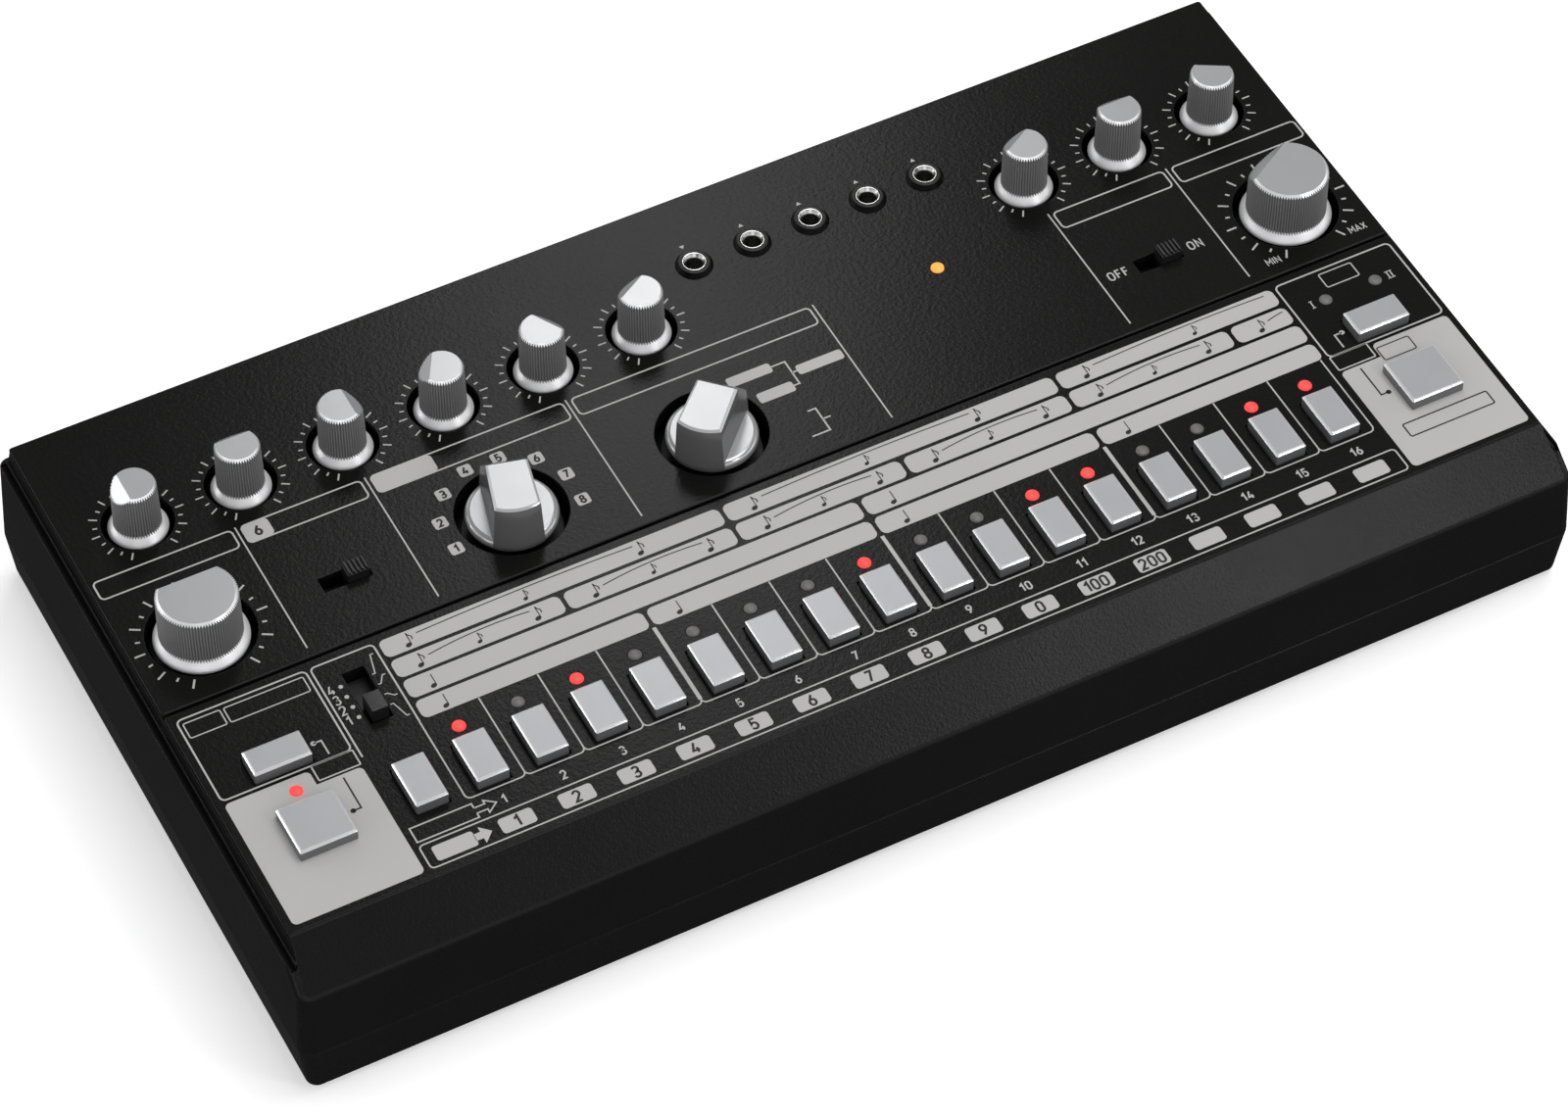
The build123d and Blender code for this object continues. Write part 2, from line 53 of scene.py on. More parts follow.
# =====================================================================================
# materials
# =====================================================================================
class Mat:
    """Small helper around one node tree with a Principled shader."""

    def __init__(self, name, color=(0.5, 0.5, 0.5), rough=0.5, metal=0.0, spec=0.5, coat=0.0,
                 coat_rough=0.2, ior=1.5, emit=None, emit_strength=0.0, sss=0.0, trans=0.0):
        m = bpy.data.materials.new(name)
        m.use_nodes = True
        self.m, self.t = m, m.node_tree
        self.n, self.l = self.t.nodes, self.t.links
        self.b = self.n["Principled BSDF"]
        s = self.b.inputs
        s["Base Color"].default_value = (*color, 1)
        s["Roughness"].default_value = rough
        s["Metallic"].default_value = metal
        s["Specular IOR Level"].default_value = spec
        s["IOR"].default_value = ior
        s["Coat Weight"].default_value = coat
        s["Coat Roughness"].default_value = coat_rough
        if emit:
            s["Emission Color"].default_value = (*emit, 1)
            s["Emission Strength"].default_value = emit_strength
        if trans:
            s["Transmission Weight"].default_value = trans
        m.diffuse_color = (*color, 1)
        self.color, self.rough = color, rough
        self.tc = self.n.new("ShaderNodeTexCoord")
        self.col = None
        self.height = None

    def mapped(self, scale=(1, 1, 1), rot=(0, 0, 0)):
        mp = self.n.new("ShaderNodeMapping")
        mp.inputs["Scale"].default_value = scale
        mp.inputs["Rotation"].default_value = rot
        self.l.new(self.tc.outputs["Object"], mp.inputs["Vector"])
        return mp.outputs["Vector"]

    def noise(self, size_mm, detail=2.0, rough=0.5, vec=None, distortion=0.0):
        n = self.n.new("ShaderNodeTexNoise")
        n.inputs["Scale"].default_value = 1000.0 / size_mm
        n.inputs["Detail"].default_value = detail
        n.inputs["Roughness"].default_value = rough
        n.inputs["Distortion"].default_value = distortion
        self.l.new(vec or self.mapped(), n.inputs["Vector"])
        return n.outputs["Fac"]

    def voronoi(self, size_mm, vec=None, feature="F1"):
        n = self.n.new("ShaderNodeTexVoronoi")
        n.feature = feature
        n.inputs["Scale"].default_value = 1000.0 / size_mm
        self.l.new(vec or self.mapped(), n.inputs["Vector"])
        return n.outputs["Distance"]

    def ramp(self, fac, stops):
        r = self.n.new("ShaderNodeValToRGB")
        e = r.color_ramp.elements
        while len(e) < len(stops):
            e.new(0.5)
        for k, (p, c) in enumerate(stops):
            e[k].position = p
            e[k].color = (*c, 1) if len(c) == 3 else c
        self.l.new(fac, r.inputs["Fac"])
        return r.outputs["Color"]

    def maprange(self, fac, a, b, c, d):
        r = self.n.new("ShaderNodeMapRange")
        for k, v in zip(("From Min", "From Max", "To Min", "To Max"), (a, b, c, d)):
            r.inputs[k].default_value = v
        self.l.new(fac, r.inputs["Value"])
        return r.outputs["Result"]

    def math(self, op, a, b=None, clamp=False):
        r = self.n.new("ShaderNodeMath")
        r.operation = op
        r.use_clamp = clamp
        for k, v in enumerate((a, b)):
            if v is None:
                continue
            if isinstance(v, (int, float)):
                r.inputs[k].default_value = v
            else:
                self.l.new(v, r.inputs[k])
        return r.outputs[0]

    def mixc(self, fac, a, b, blend="MIX"):
        r = self.n.new("ShaderNodeMix")
        r.data_type = "RGBA"
        r.blend_type = blend
        r.clamp_factor = True
        if isinstance(fac, (int, float)):
            r.inputs[0].default_value = fac
        else:
            self.l.new(fac, r.inputs[0])
        for k, v in ((6, a), (7, b)):
            if isinstance(v, tuple):
                r.inputs[k].default_value = (*v, 1)
            else:
                self.l.new(v, r.inputs[k])
        return r.outputs[2]

    def vary(self, size_mm, lo, hi, detail=3.0, vec=None):
        """Base colour drifts between two colours."""
        f = self.noise(size_mm, detail, 0.55, vec)
        c = self.ramp(f, [(0.3, lo), (0.7, hi)])
        self.col = c
        self.l.new(c, self.b.inputs["Base Color"])
        return c

    def set_color(self, c):
        self.col = c
        self.l.new(c, self.b.inputs["Base Color"])

    def rough_var(self, size_mm, lo, hi, detail=4.0, vec=None):
        f = self.noise(size_mm, detail, 0.6, vec)
        self.l.new(self.maprange(f, 0.3, 0.7, lo, hi), self.b.inputs["Roughness"])

    def edge(self, radius_mm, samples=4):
        """0 on flat ground, up to 1 on rounded-over corners."""
        bv = self.n.new("ShaderNodeBevel")
        bv.samples = samples
        bv.inputs["Radius"].default_value = radius_mm * MM
        g = self.n.new("ShaderNodeNewGeometry")
        d = self.n.new("ShaderNodeVectorMath")
        d.operation = "DOT_PRODUCT"
        self.l.new(bv.outputs["Normal"], d.inputs[0])
        self.l.new(g.outputs["Normal"], d.inputs[1])
        return self.math("SUBTRACT", 1.0, d.outputs["Value"], clamp=True)

    def bump(self, items, bevel_mm=0.0):
        """items: list of (height socket, distance mm, strength)."""
        prev = None
        if bevel_mm:
            bv = self.n.new("ShaderNodeBevel")
            bv.samples = 4
            bv.inputs["Radius"].default_value = bevel_mm * MM
            prev = bv.outputs["Normal"]
        for h, dist, st in items:
            b = self.n.new("ShaderNodeBump")
            b.inputs["Distance"].default_value = dist * MM
            b.inputs["Strength"].default_value = st
            self.l.new(h, b.inputs["Height"])
            if prev is not None:
                self.l.new(prev, b.inputs["Normal"])
            prev = b.outputs["Normal"]
        self.l.new(prev, self.b.inputs["Normal"])


def make_materials():
    M = {}
    # case: black ABS with a fine spark-eroded grain and slightly polished edges
    a = Mat("case_abs", (0.006, 0.006, 0.006), 0.28, spec=0.12)
    a.vary(38, (0.0054, 0.0054, 0.0055), (0.0066, 0.0065, 0.0064))
    lighter_edges = a.math("MULTIPLY", a.math("MULTIPLY", a.edge(0.45), a.maprange(a.noise(7, 4), 0.42, 0.62, 0.15, 1.0)), 1.6, clamp=True)
    a.set_color(a.mixc(lighter_edges, a.col, (0.03, 0.03, 0.03)))
    a.rough_var(22, 0.265, 0.30)
    a.bump([(a.voronoi(0.62), 0.04, 0.45), (a.noise(0.9, 3), 0.05, 0.5), (a.noise(45, 1), 0.4, 0.04)], bevel_mm=0.4)
    M["case"] = a.m
    # panel: black satin coating, faint orange peel
    a = Mat("panel_satin", (0.0052, 0.0051, 0.0049), 0.22, spec=0.13)
    a.vary(60, (0.0046, 0.0045, 0.0043), (0.0058, 0.0057, 0.0054))
    lighter_edges = a.math("MULTIPLY", a.math("MULTIPLY", a.edge(0.35), a.maprange(a.noise(9, 4), 0.4, 0.65, 0.2, 1.0)), 1.8, clamp=True)
    a.set_color(a.mixc(lighter_edges, a.col, (0.045, 0.044, 0.043)))
    a.rough_var(35, 0.205, 0.235)
    a.bump([(a.noise(0.42, 2), 0.042, 0.6), (a.noise(0.95, 2), 0.07, 0.6), (a.noise(2.6, 2), 0.03, 0.16)], bevel_mm=0.3)
    M["panel"] = a.m
    # screen print
    a = Mat("print_grey", (0.44, 0.436, 0.43), 0.5, spec=0.12)
    a.vary(24, (0.431, 0.427, 0.421), (0.449, 0.445, 0.439))
    a.rough_var(12, 0.5, 0.62)
    a.bump([(a.noise(0.5, 3), 0.02, 0.35)])
    M["print"] = a.m
    a = Mat("print_dark", (0.012, 0.012, 0.012), 0.5, spec=0.25)
    a.vary(18, (0.010, 0.010, 0.010), (0.014, 0.014, 0.014))
    a.rough_var(12, 0.42, 0.56)
    a.bump([(a.noise(0.5, 3), 0.02, 0.35)])
    M["print_dark"] = a.m
    # keys: pale grey satin moulding
    a = Mat("key_grey", (0.37, 0.374, 0.39), 0.30, metal=0.22, spec=0.5)
    a.vary(14, (0.362, 0.366, 0.382), (0.378, 0.382, 0.398))
    # painted highlight: the rims of the key tops are mixed toward a lighter grey
    lighter_edges = a.math("MULTIPLY", a.edge(0.25), 0.8, clamp=True)
    a.set_color(a.mixc(lighter_edges, a.col, (0.62, 0.62, 0.64)))
    a.rough_var(8, 0.285, 0.315)
    a.bump([(a.noise(0.35, 3), 0.012, 0.3), (a.noise(6, 1), 0.02, 0.08)])
    M["key"] = a.m
    # painted highlight: lighter copy of the key grey for the top chamfers
    a = Mat("key_chamfer_painted_highlight", (0.77, 0.77, 0.79), 0.25, metal=0.5, spec=0.5)
    a.vary(14, (0.76, 0.76, 0.78), (0.78, 0.78, 0.80))
    a.rough_var(8, 0.225, 0.255)
    a.bump([(a.noise(0.35, 3), 0.008, 0.3)])
    M["key_chamfer_painted_highlight"] = a.m
    # painted shade: darker copy of the key grey for the flange and side walls
    a = Mat("key_side_painted_shade", (0.128, 0.130, 0.135), 0.34, metal=0.2, spec=0.5)
    a.vary(14, (0.122, 0.124, 0.129), (0.134, 0.136, 0.141))
    a.rough_var(8, 0.32, 0.36)
    a.bump([(a.noise(0.35, 3), 0.012, 0.3)])
    M["key_side_painted_shade"] = a.m
    # knobs: silver-grey lacquered plastic
    a = Mat("knob_top", (0.41, 0.414, 0.425), 0.25, metal=0.38, spec=0.5)
    a.vary(9, (0.404, 0.408, 0.419), (0.416, 0.420, 0.431))
    a.rough_var(6, 0.245, 0.265)
    a.bump([(a.noise(0.3, 2), 0.004, 0.3)])
    M["knob_top"] = a.m
    # painted shade: darker copy of the knob grey for the fluted barrel
    a = Mat("knob_side_painted_shade", (0.26, 0.26, 0.264), 0.34, metal=0.25, spec=0.5)
    a.vary(9, (0.254, 0.254, 0.258), (0.266, 0.266, 0.270))
    a.rough_var(6, 0.32, 0.36)
    a.bump([(a.noise(0.35, 2), 0.006, 0.3)])
    M["knob_side_painted_shade"] = a.m
    # painted highlight: lighter copy of the knob grey for the skirt
    a = Mat("knob_skirt_painted_highlight", (0.80, 0.80, 0.81), 0.42, metal=0.45, spec=0.5)
    a.vary(9, (0.79, 0.79, 0.80), (0.81, 0.81, 0.82))
    a.rough_var(6, 0.40, 0.44)
    a.bump([(a.noise(0.4, 2), 0.005, 0.3)])
    M["knob_skirt_painted_highlight"] = a.m
    # painted highlight: lighter copy of the knob grey for the top chamfer ring
    a = Mat("knob_ring_painted_highlight", (0.80, 0.80, 0.81), 0.34, metal=0.5, spec=0.5)
    a.vary(9, (0.79, 0.79, 0.80), (0.81, 0.81, 0.82))
    a.rough_var(6, 0.32, 0.36)
    a.bump([(a.noise(0.4, 2), 0.004, 0.3)])
    M["knob_ring_painted_highlight"] = a.m
    # painted shade: darker copy of the knob grey for the bottoms of the flutes
    a = Mat("knob_groove_painted_shade", (0.175, 0.175, 0.177), 0.40, metal=0.2, spec=0.4)
    a.vary(9, (0.17, 0.17, 0.172), (0.18, 0.18, 0.182))
    a.rough_var(6, 0.38, 0.42)
    a.bump([(a.noise(0.35, 2), 0.006, 0.3)])
    M["knob_groove_painted_shade"] = a.m
    # black sliders and jack nuts
    # painted shade: darker copy of the slider black for the steep sides
    a = Mat("slider_side_painted_shade", (0.0065, 0.0065, 0.0068), 0.5, spec=0.16)
    a.vary(3, (0.0058, 0.0058, 0.0060), (0.0072, 0.0072, 0.0075))
    a.rough_var(2, 0.46, 0.56)
    a.bump([(a.noise(0.3, 3), 0.02, 0.4)], bevel_mm=0.15)
    M["slider_side_painted_shade"] = a.m
    a = Mat("slider_black", (0.026, 0.026, 0.028), 0.5, spec=0.35)
    a.vary(3, (0.021, 0.021, 0.022), (0.033, 0.033, 0.035))
    a.rough_var(2, 0.42, 0.6)
    a.bump([(a.noise(0.3, 3), 0.03, 0.5)], bevel_mm=0.15)
    M["slider"] = a.m
    # painted shade: darker copy of the nut black for the steep sides
    a = Mat("jack_side_painted_shade", (0.002, 0.002, 0.002), 0.4, spec=0.06)
    a.vary(3, (0.0015, 0.0015, 0.0015), (0.0025, 0.0025, 0.0025))
    a.rough_var(2, 0.36, 0.46)
    a.bump([(a.noise(0.4, 3), 0.01, 0.3)])
    M["jack_side_painted_shade"] = a.m
    a = Mat("jack_black", (0.012, 0.0125, 0.012), 0.34, spec=0.22)
    a.vary(3, (0.010, 0.0105, 0.010), (0.015, 0.0155, 0.015))
    a.rough_var(2, 0.30, 0.40)
    a.bump([(a.noise(0.4, 3), 0.02, 0.4)], bevel_mm=0.12)
    M["jack"] = a.m
    a = Mat("chrome_ring", (0.74, 0.73, 0.71), 0.2, metal=1.0)
    a.vary(2, (0.72, 0.71, 0.69), (0.76, 0.75, 0.73))
    a.rough_var(1.2, 0.18, 0.22)
    a.bump([(a.noise(0.5, 2), 0.002, 0.2)])
    M["chrome"] = a.m
    # painted shade: darker copy of the ring metal for the inside of the bore
    a = Mat("jack_bore_metal_painted_shade", (0.42, 0.42, 0.415), 0.26, metal=1.0)
    a.vary(1.1, (0.36, 0.36, 0.355), (0.48, 0.48, 0.475))
    a.rough_var(1.0, 0.24, 0.29)
    a.bump([(a.noise(0.7, 2), 0.004, 0.3)])
    M["jack_bore"] = a.m
    a = Mat("socket_steel", (0.55, 0.55, 0.56), 0.3, metal=1.0)
    a.vary(4, (0.48, 0.48, 0.49), (0.62, 0.62, 0.63))
    a.rough_var(2, 0.22, 0.42)
    a.bump([(a.noise(0.6, 3, vec=a.mapped((1, 8, 1))), 0.02, 0.4)], bevel_mm=0.15)
    M["steel"] = a.m
    a = Mat("socket_plastic", (0.02, 0.02, 0.021), 0.42, spec=0.45)
    a.vary(6, (0.016, 0.016, 0.017), (0.026, 0.026, 0.027))
    a.rough_var(3, 0.36, 0.5)
    a.bump([(a.noise(0.5, 3), 0.03, 0.4)], bevel_mm=0.2)
    M["socket"] = a.m
    a = Mat("foot_rubber", (0.022, 0.022, 0.022), 0.8, spec=0.25)
    a.vary(4, (0.017, 0.017, 0.017), (0.03, 0.03, 0.03))
    a.rough_var(2, 0.7, 0.9)
    a.bump([(a.noise(0.5, 4), 0.06, 0.6)], bevel_mm=0.3)
    M["rubber"] = a.m
    a = Mat("screw_steel", (0.06, 0.06, 0.062), 0.36, metal=0.8)
    a.vary(2, (0.045, 0.045, 0.047), (0.085, 0.085, 0.088))
    a.rough_var(1.5, 0.28, 0.5)
    a.bump([(a.noise(0.4, 3), 0.02, 0.4)], bevel_mm=0.12)
    M["screw"] = a.m
    a = Mat("board_mask", (0.006, 0.012, 0.009), 0.45, spec=0.3)
    a.vary(20, (0.004, 0.008, 0.006), (0.009, 0.016, 0.012))
    a.rough_var(8, 0.38, 0.55)
    a.bump([(a.noise(0.8, 3), 0.03, 0.4)])
    M["board"] = a.m
    a = Mat("part_black", (0.012, 0.012, 0.012), 0.55, spec=0.3)
    a.vary(6, (0.009, 0.009, 0.009), (0.016, 0.016, 0.016))
    a.rough_var(4, 0.5, 0.65)
    a.bump([(a.noise(0.5, 3), 0.03, 0.4)])
    M["part"] = a.m
    # lamps
    a = Mat("lamp_red_lit", (0.5, 0.03, 0.02), 0.35, spec=0.2, emit=(1.0, 0.065, 0.06), emit_strength=1.0)
    a.vary(0.9, (0.45, 0.02, 0.015), (0.55, 0.04, 0.03))
    a.bump([(a.noise(0.5, 2), 0.01, 0.2)])
    M["red"] = a.m
    a = Mat("lamp_amber_lit", (0.5, 0.2, 0.04), 0.35, spec=0.2, emit=(1.0, 0.40, 0.07), emit_strength=0.82)
    a.vary(0.9, (0.45, 0.16, 0.03), (0.55, 0.24, 0.05))
    a.bump([(a.noise(0.5, 2), 0.01, 0.2)])
    M["amber"] = a.m
    a = Mat("lamp_off", (0.13, 0.127, 0.124), 0.42, spec=0.4)
    a.vary(0.9, (0.115, 0.113, 0.110), (0.145, 0.142, 0.138))
    a.rough_var(0.8, 0.36, 0.5)
    a.bump([(a.noise(0.4, 2), 0.01, 0.3)])
    M["off"] = a.m
    a = Mat("floor_paper", (0.80, 0.80, 0.80), 0.5, spec=0.3, emit=(1, 1, 1), emit_strength=0.42)
    a.vary(400, (0.79, 0.79, 0.79), (0.81, 0.81, 0.81))
    a.bump([(a.noise(1.6, 3), 0.02, 0.1)])
    M["floor"] = a.m
    return M


M = make_materials()


def paint(node, key):
    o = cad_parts[node]
    o.data.materials.clear()
    o.data.materials.append(M[key])


for n, k in {
    "bottom_case": "case", "top_case": "case", "control_panel": "panel", "step_panel": "panel",
    "main_board": "board", "step_board": "board", "io_board": "board", "potentiometers": "part",
    "rotary_switches": "part", "slide_switches": "part", "tact_switches": "part",
    "leds_lit": "red", "leds_unlit": "off", "power_led": "amber", "minijack_sockets": "jack",
    "minijack_nuts": "jack", "mix_out_jack": "steel", "midi_sockets": "socket",
    "usb_socket": "steel", "dc_inlet": "socket", "rubber_feet": "rubber", "screws": "screw",
    "power_slider": "slider", "slider_cymbal_clap": "slider", "slider_distortion": "slider",
    "slider_scale": "slider",
}.items():
    paint(n, k)


# =====================================================================================
# geometry helpers (all input in millimetres)
# =====================================================================================
def mesh_object(name, verts, faces, mats, body, idx=None, smooth=True, angle=None):
    me = bpy.data.meshes.new(name)
    me.from_pydata([(x * MM, y * MM, z * MM) for x, y, z in verts], [], faces)
    for m in mats:
        me.materials.append(m)
    if idx:
        me.polygons.foreach_set("material_index", idx)
    me.update()
    if smooth:
        if angle is None:
            me.polygons.foreach_set("use_smooth", [True] * len(me.polygons))
        else:
            bm = bmesh.new()
            bm.from_mesh(me)
            for f in bm.faces:
                f.smooth = len(f.verts) < 6
            for e in bm.edges:
                if len(e.link_faces) == 2 and (e.calc_face_angle(0) > math.radians(angle) or not all(f.smooth for f in e.link_faces)):
                    e.smooth = False
            bm.to_mesh(me)
            bm.free()
    o = bpy.data.objects.new(name, me)
    bpy.context.scene.collection.objects.link(o)
    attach(o, body)
    return o


def rrect(w, d, r, n=5):
    """Rounded rectangle loop, counter-clockwise, centred on the origin."""
    pts = []
    r = min(r, w / 2 - 1e-4, d / 2 - 1e-4)
    for cx, cy, a0 in ((w / 2 - r, d / 2 - r, 0), (-w / 2 + r, d / 2 - r, 90),
                       (-w / 2 + r, -d / 2 + r, 180), (w / 2 - r, -d / 2 + r, 270)):
        for k in range(n + 1):
            a = math.radians(a0 + 90 * k / n)
            pts.append((cx + r * math.cos(a), cy + r * math.sin(a)))
    return pts


def ring_loft(rings, cx, cy, close_top=True, close_bottom=True):
    """rings: list of (z, loop) with equal point counts."""
    v, f = [], []
    n = len(rings[0][1])
    for z, loop in rings:
        v += [(cx + x, cy + y, z) for x, y in loop]
    for k in range(len(rings) - 1):
        for i in range(n):
            j = (i + 1) % n
            f.append((k * n + i, k * n + j, (k + 1) * n + j, (k + 1) * n + i))
    if close_top:
        f.append(tuple((len(rings) - 1) * n + i for i in range(n)))
    if close_bottom:
        f.append(tuple(reversed(range(n))))
    return v, f


# =====================================================================================
# keys
# =====================================================================================
BUTTONS = {"button_step_%02d" % (i + 1): (px(i + 0.5), py(1.49), 7.3, 12.5) for i in range(16)}
BUTTONS["button_scale_function"] = (px(-0.517), py(1.49), 7.3, 12.5)
BUTTONS["button_clear"] = (px(-2.226), py(2.935), 13.0, 7.0)
BUTTONS["button_pattern_group"] = (px(17.226), py(2.935), 13.0, 7.0)
BUTTONS["button_start_stop"] = (px(-2.226), py(1.49), 12.9, 12.7)
BUTTONS["button_write_next"] = (px(17.226), py(1.49), 12.9, 12.7)
Z_CAP = ZT + 2.8


def key_mesh(name, x, y, w, d):
    """Hollow-looking cap: flange below the panel, straight walls, crisp chamfer, flat top."""
    rings = [(35.0, rrect(w + 1.8, d + 1.8, 0.6)), (36.0, rrect(w + 1.8, d + 1.8, 0.6)),
             (36.0, rrect(w, d, 0.30)),
             (Z_CAP - 0.43, rrect(w, d, 0.28)),
             (Z_CAP - 0.39, rrect(w - 0.05, d - 0.05, 0.28)),
             (Z_CAP - 0.04, rrect(w - 0.98, d - 0.98, 0.24)),
             (Z_CAP, rrect(w - 1.12, d - 1.12, 0.22))]
    v, f = ring_loft(rings, x, y)
    n = len(rings[0][1])
    idx = []
    # flange and walls take the darker painted-shade copy, the chamfer rings the lighter painted-highlight copy
    for k in range(len(rings) - 1):
        idx += [(1 if k < 3 else 2)] * n
    idx += [0, 1]
    return mesh_object("key_" + name[7:], v, f, [M["key"], M["key_side_painted_shade"], M["key_chamfer_painted_highlight"]], name, idx=idx, angle=24)


for name, (x, y, w, d) in BUTTONS.items():
    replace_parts(key_mesh(name, x, y, w, d), name)


# =====================================================================================
# fluted knobs
# =====================================================================================
def knob_mesh(name, node, x, y, ang, p):
    """Turned, fluted knob with a sloping pointer facet; p holds the profile."""
    N = p["flutes"] * 8
    zt, rc, zr, rt, rb, z0 = p["zt"], p["rc"], p["zr"], p["rt"], p["rb"], p["z0"]
    d, tan_s = p["chord"], math.tan(math.radians(p["slope"]))
    A, B, C, D = 4, 7, 3, 12
    verts, rows = [], None
    a0 = math.radians(90 - ang)
    cols = []
    for i in range(N):
        th = 2 * math.pi * i / N
        k = math.cos(th)
        g = (0.5 - 0.5 * math.cos(p["flutes"] * th))
        dep = p["depth"] * g
        rt_, rb_ = rt - dep, rb - dep
        dt = dep * 0.85                       # shallower flutes where they run into the top chamfer
        rt_ = rt - dt
        zr = p["zr"] + dt * (zt - p["zr"]) / (rt - rc)
        z0 = p["z0"] + (p["skirt"][0][0] - rb_) * 1.05
        line = [(rc, zt), (rt_, zr), (rb_, z0)]

        def f(r):
            return zt - max(0.0, r * k - d) * tan_s

        cut = k > 1e-6 and rc * k > d
        prof = []
        if cut or (k > 1e-6 and f(rt_) < zr):
            r_cr = min(d / k, rc)
            # where the slope leaves the outline
            hit, seg = None, None
            for s in range(2):
                (ra, za), (rb2, zb) = line[s], line[s + 1]
                ga, gb = za - f(ra), zb - f(rb2)
                if ga > 0 and gb <= 0:
                    lo, hi = 0.0, 1.0
                    for _ in range(30):
                        mid = (lo + hi) / 2
                        r, z = ra + (rb2 - ra) * mid, za + (zb - za) * mid
                        if z - f(r) > 0:
                            lo = mid
                        else:
                            hi = mid
                    hit, seg = (ra + (rb2 - ra) * lo, za + (zb - za) * lo), s
                    break
            if hit is None:
                if zr - f(rt_) > 0:
                    hit, seg = (rb_, z0), 1
                else:
                    hit, seg = (rc, zt), 0
        else:
            r_cr, hit, seg = rc, (rc, zt), 0
        for j in range(1, A + 1):
            prof.append((r_cr * j / A, zt))
        for j in range(1, B + 1):
            r = r_cr + (hit[0] - r_cr) * j / B
            prof.append((r, f(r) if r > r_cr + 1e-9 else zt))
        prof[-1] = hit
        if seg == 0:
            for j in range(1, C + 1):
                t = j / C
                prof.append((hit[0] + (rt_ - hit[0]) * t, hit[1] + (zr - hit[1]) * t))
            start = (rt_, zr)
        else:
            prof += [hit] * C
            start = hit
        for j in range(1, D + 1):
            t = j / D
            prof.append((start[0] + (rb_ - start[0]) * t, start[1] + (z0 - start[1]) * t))
        nb = len(prof)
        for r, z in p["skirt"]:
            prof.append((r, z))
        ca, sa = math.cos(a0 - th), math.sin(a0 - th)
        cols.append([(x + r * ca, y + r * sa, z) for r, z in prof])
    M_ = len(cols[0])
    verts = [(x, y, zt)]
    for c in cols:
        verts += c
    faces, idx = [], []
    for i in range(N):
        j = (i + 1) % N
        b0, b1 = 1 + i * M_, 1 + j * M_
        faces.append((0, b1, b0))
        idx.append(0)
        for k2 in range(M_ - 1):
            faces.append((b0 + k2, b1 + k2, b1 + k2 + 1, b0 + k2 + 1))
            if k2 < A + B - 1:
                idx.append(0)
            elif k2 < A + B + C - 1:
                idx.append(1)
            elif k2 < nb - 1:
                # flute bottoms take the darker painted-shade copy
                idx.append(4 if math.cos(p["flutes"] * 2 * math.pi * (i + 0.5) / N) < -0.3 else 2)
            else:
                idx.append(3)
    # close underneath
    faces.append(tuple(1 + i * M_ + M_ - 1 for i in range(N)))
    idx.append(3)
    me = bpy.data.meshes.new(name)
    bm = bmesh.new()
    bv = [bm.verts.new((a * MM, b * MM, c * MM)) for a, b, c in verts]
    bm.verts.ensure_lookup_table()
    for fc, mi in zip(faces, idx):
        try:
            fa = bm.faces.new([bv[q] for q in fc])
            fa.material_index = mi
            fa.smooth = True
        except ValueError:
            pass
    bmesh.ops.remove_doubles(bm, verts=bm.verts, dist=2e-7)
    bmesh.ops.recalc_face_normals(bm, faces=bm.faces)
    for e in bm.edges:
        if len(e.link_faces) == 2:
            m1, m2 = (f.material_index for f in e.link_faces)
            if e.calc_face_angle(0) > math.radians(24) or (m1 != m2 and {m1, m2} != {2, 4}):
                e.smooth = False
    bm.to_mesh(me)
    bm.free()
    for k2 in ("knob_top", "knob_ring_painted_highlight", "knob_side_painted_shade", "knob_skirt_painted_highlight", "knob_groove_painted_shade"):
        me.materials.append(M[k2])
    o = bpy.data.objects.new(name, me)
    bpy.context.scene.collection.objects.link(o)
    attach(o, node)
    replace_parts(o, node)
    return o


SMALL_P = dict(flutes=52, zt=53.2, rc=4.42, zr=52.3, rt=4.98, rb=5.26, z0=40.75, chord=2.15, slope=45, depth=0.42,
               skirt=[(5.40, 40.75), (5.62, 40.52), (5.95, 40.17), (6.28, 39.82), (6.48, 39.60), (6.58, 39.46), (6.62, 39.3), (6.5, 39.12)])
BIG_P = dict(flutes=90, zt=53.3, rc=8.05, zr=52.55, rt=8.86, rb=9.06, z0=40.95, chord=4.86, slope=51, depth=0.50,
             skirt=[(9.28, 40.95), (9.48, 40.70), (9.76, 40.34), (10.06, 39.98), (10.26, 39.74), (10.35, 39.56), (10.38, 39.35), (10.2, 39.12)])
SMALL = {
    "knob_accent": (px(-2.216), -90), "knob_bass_drum": (px(-0.448), 0),
    "knob_snare_drum": (px(1.320), 90), "knob_tom": (px(3.088), -60),
    "knob_cymbal_clap": (px(4.856), 60), "knob_hi_hat": (px(6.624), -30),
    "knob_distortion": (px(13.692), -30), "knob_tone": (px(15.461), 0),
    "knob_level": (px(17.232), 30),
}
SMALL_Y = py(8.274)
BIG_Y = py(5.77)
BIG = {"knob_tempo": (px(-2.236), 0), "knob_volume": (px(17.228), -30)}
for n, (x, a) in SMALL.items():
    knob_mesh("cap_" + n[5:], n, x, SMALL_Y, a, SMALL_P)
for n, (x, a) in BIG.items():
    knob_mesh("cap_" + n[5:], n, x, BIG_Y, a, BIG_P)


# =====================================================================================
# selector knobs
# =====================================================================================
def bisect_keep(bm, co, no):
    """Cuts away everything on the side the normal points to and closes the cut."""
    g = bm.verts[:] + bm.edges[:] + bm.faces[:]
    r = bmesh.ops.bisect_plane(bm, geom=g, plane_co=co, plane_no=no, clear_outer=True, dist=1e-7)
    e = [k for k in r["geom_cut"] if isinstance(k, bmesh.types.BMEdge)]
    bmesh.ops.edgeloop_fill(bm, edges=e)


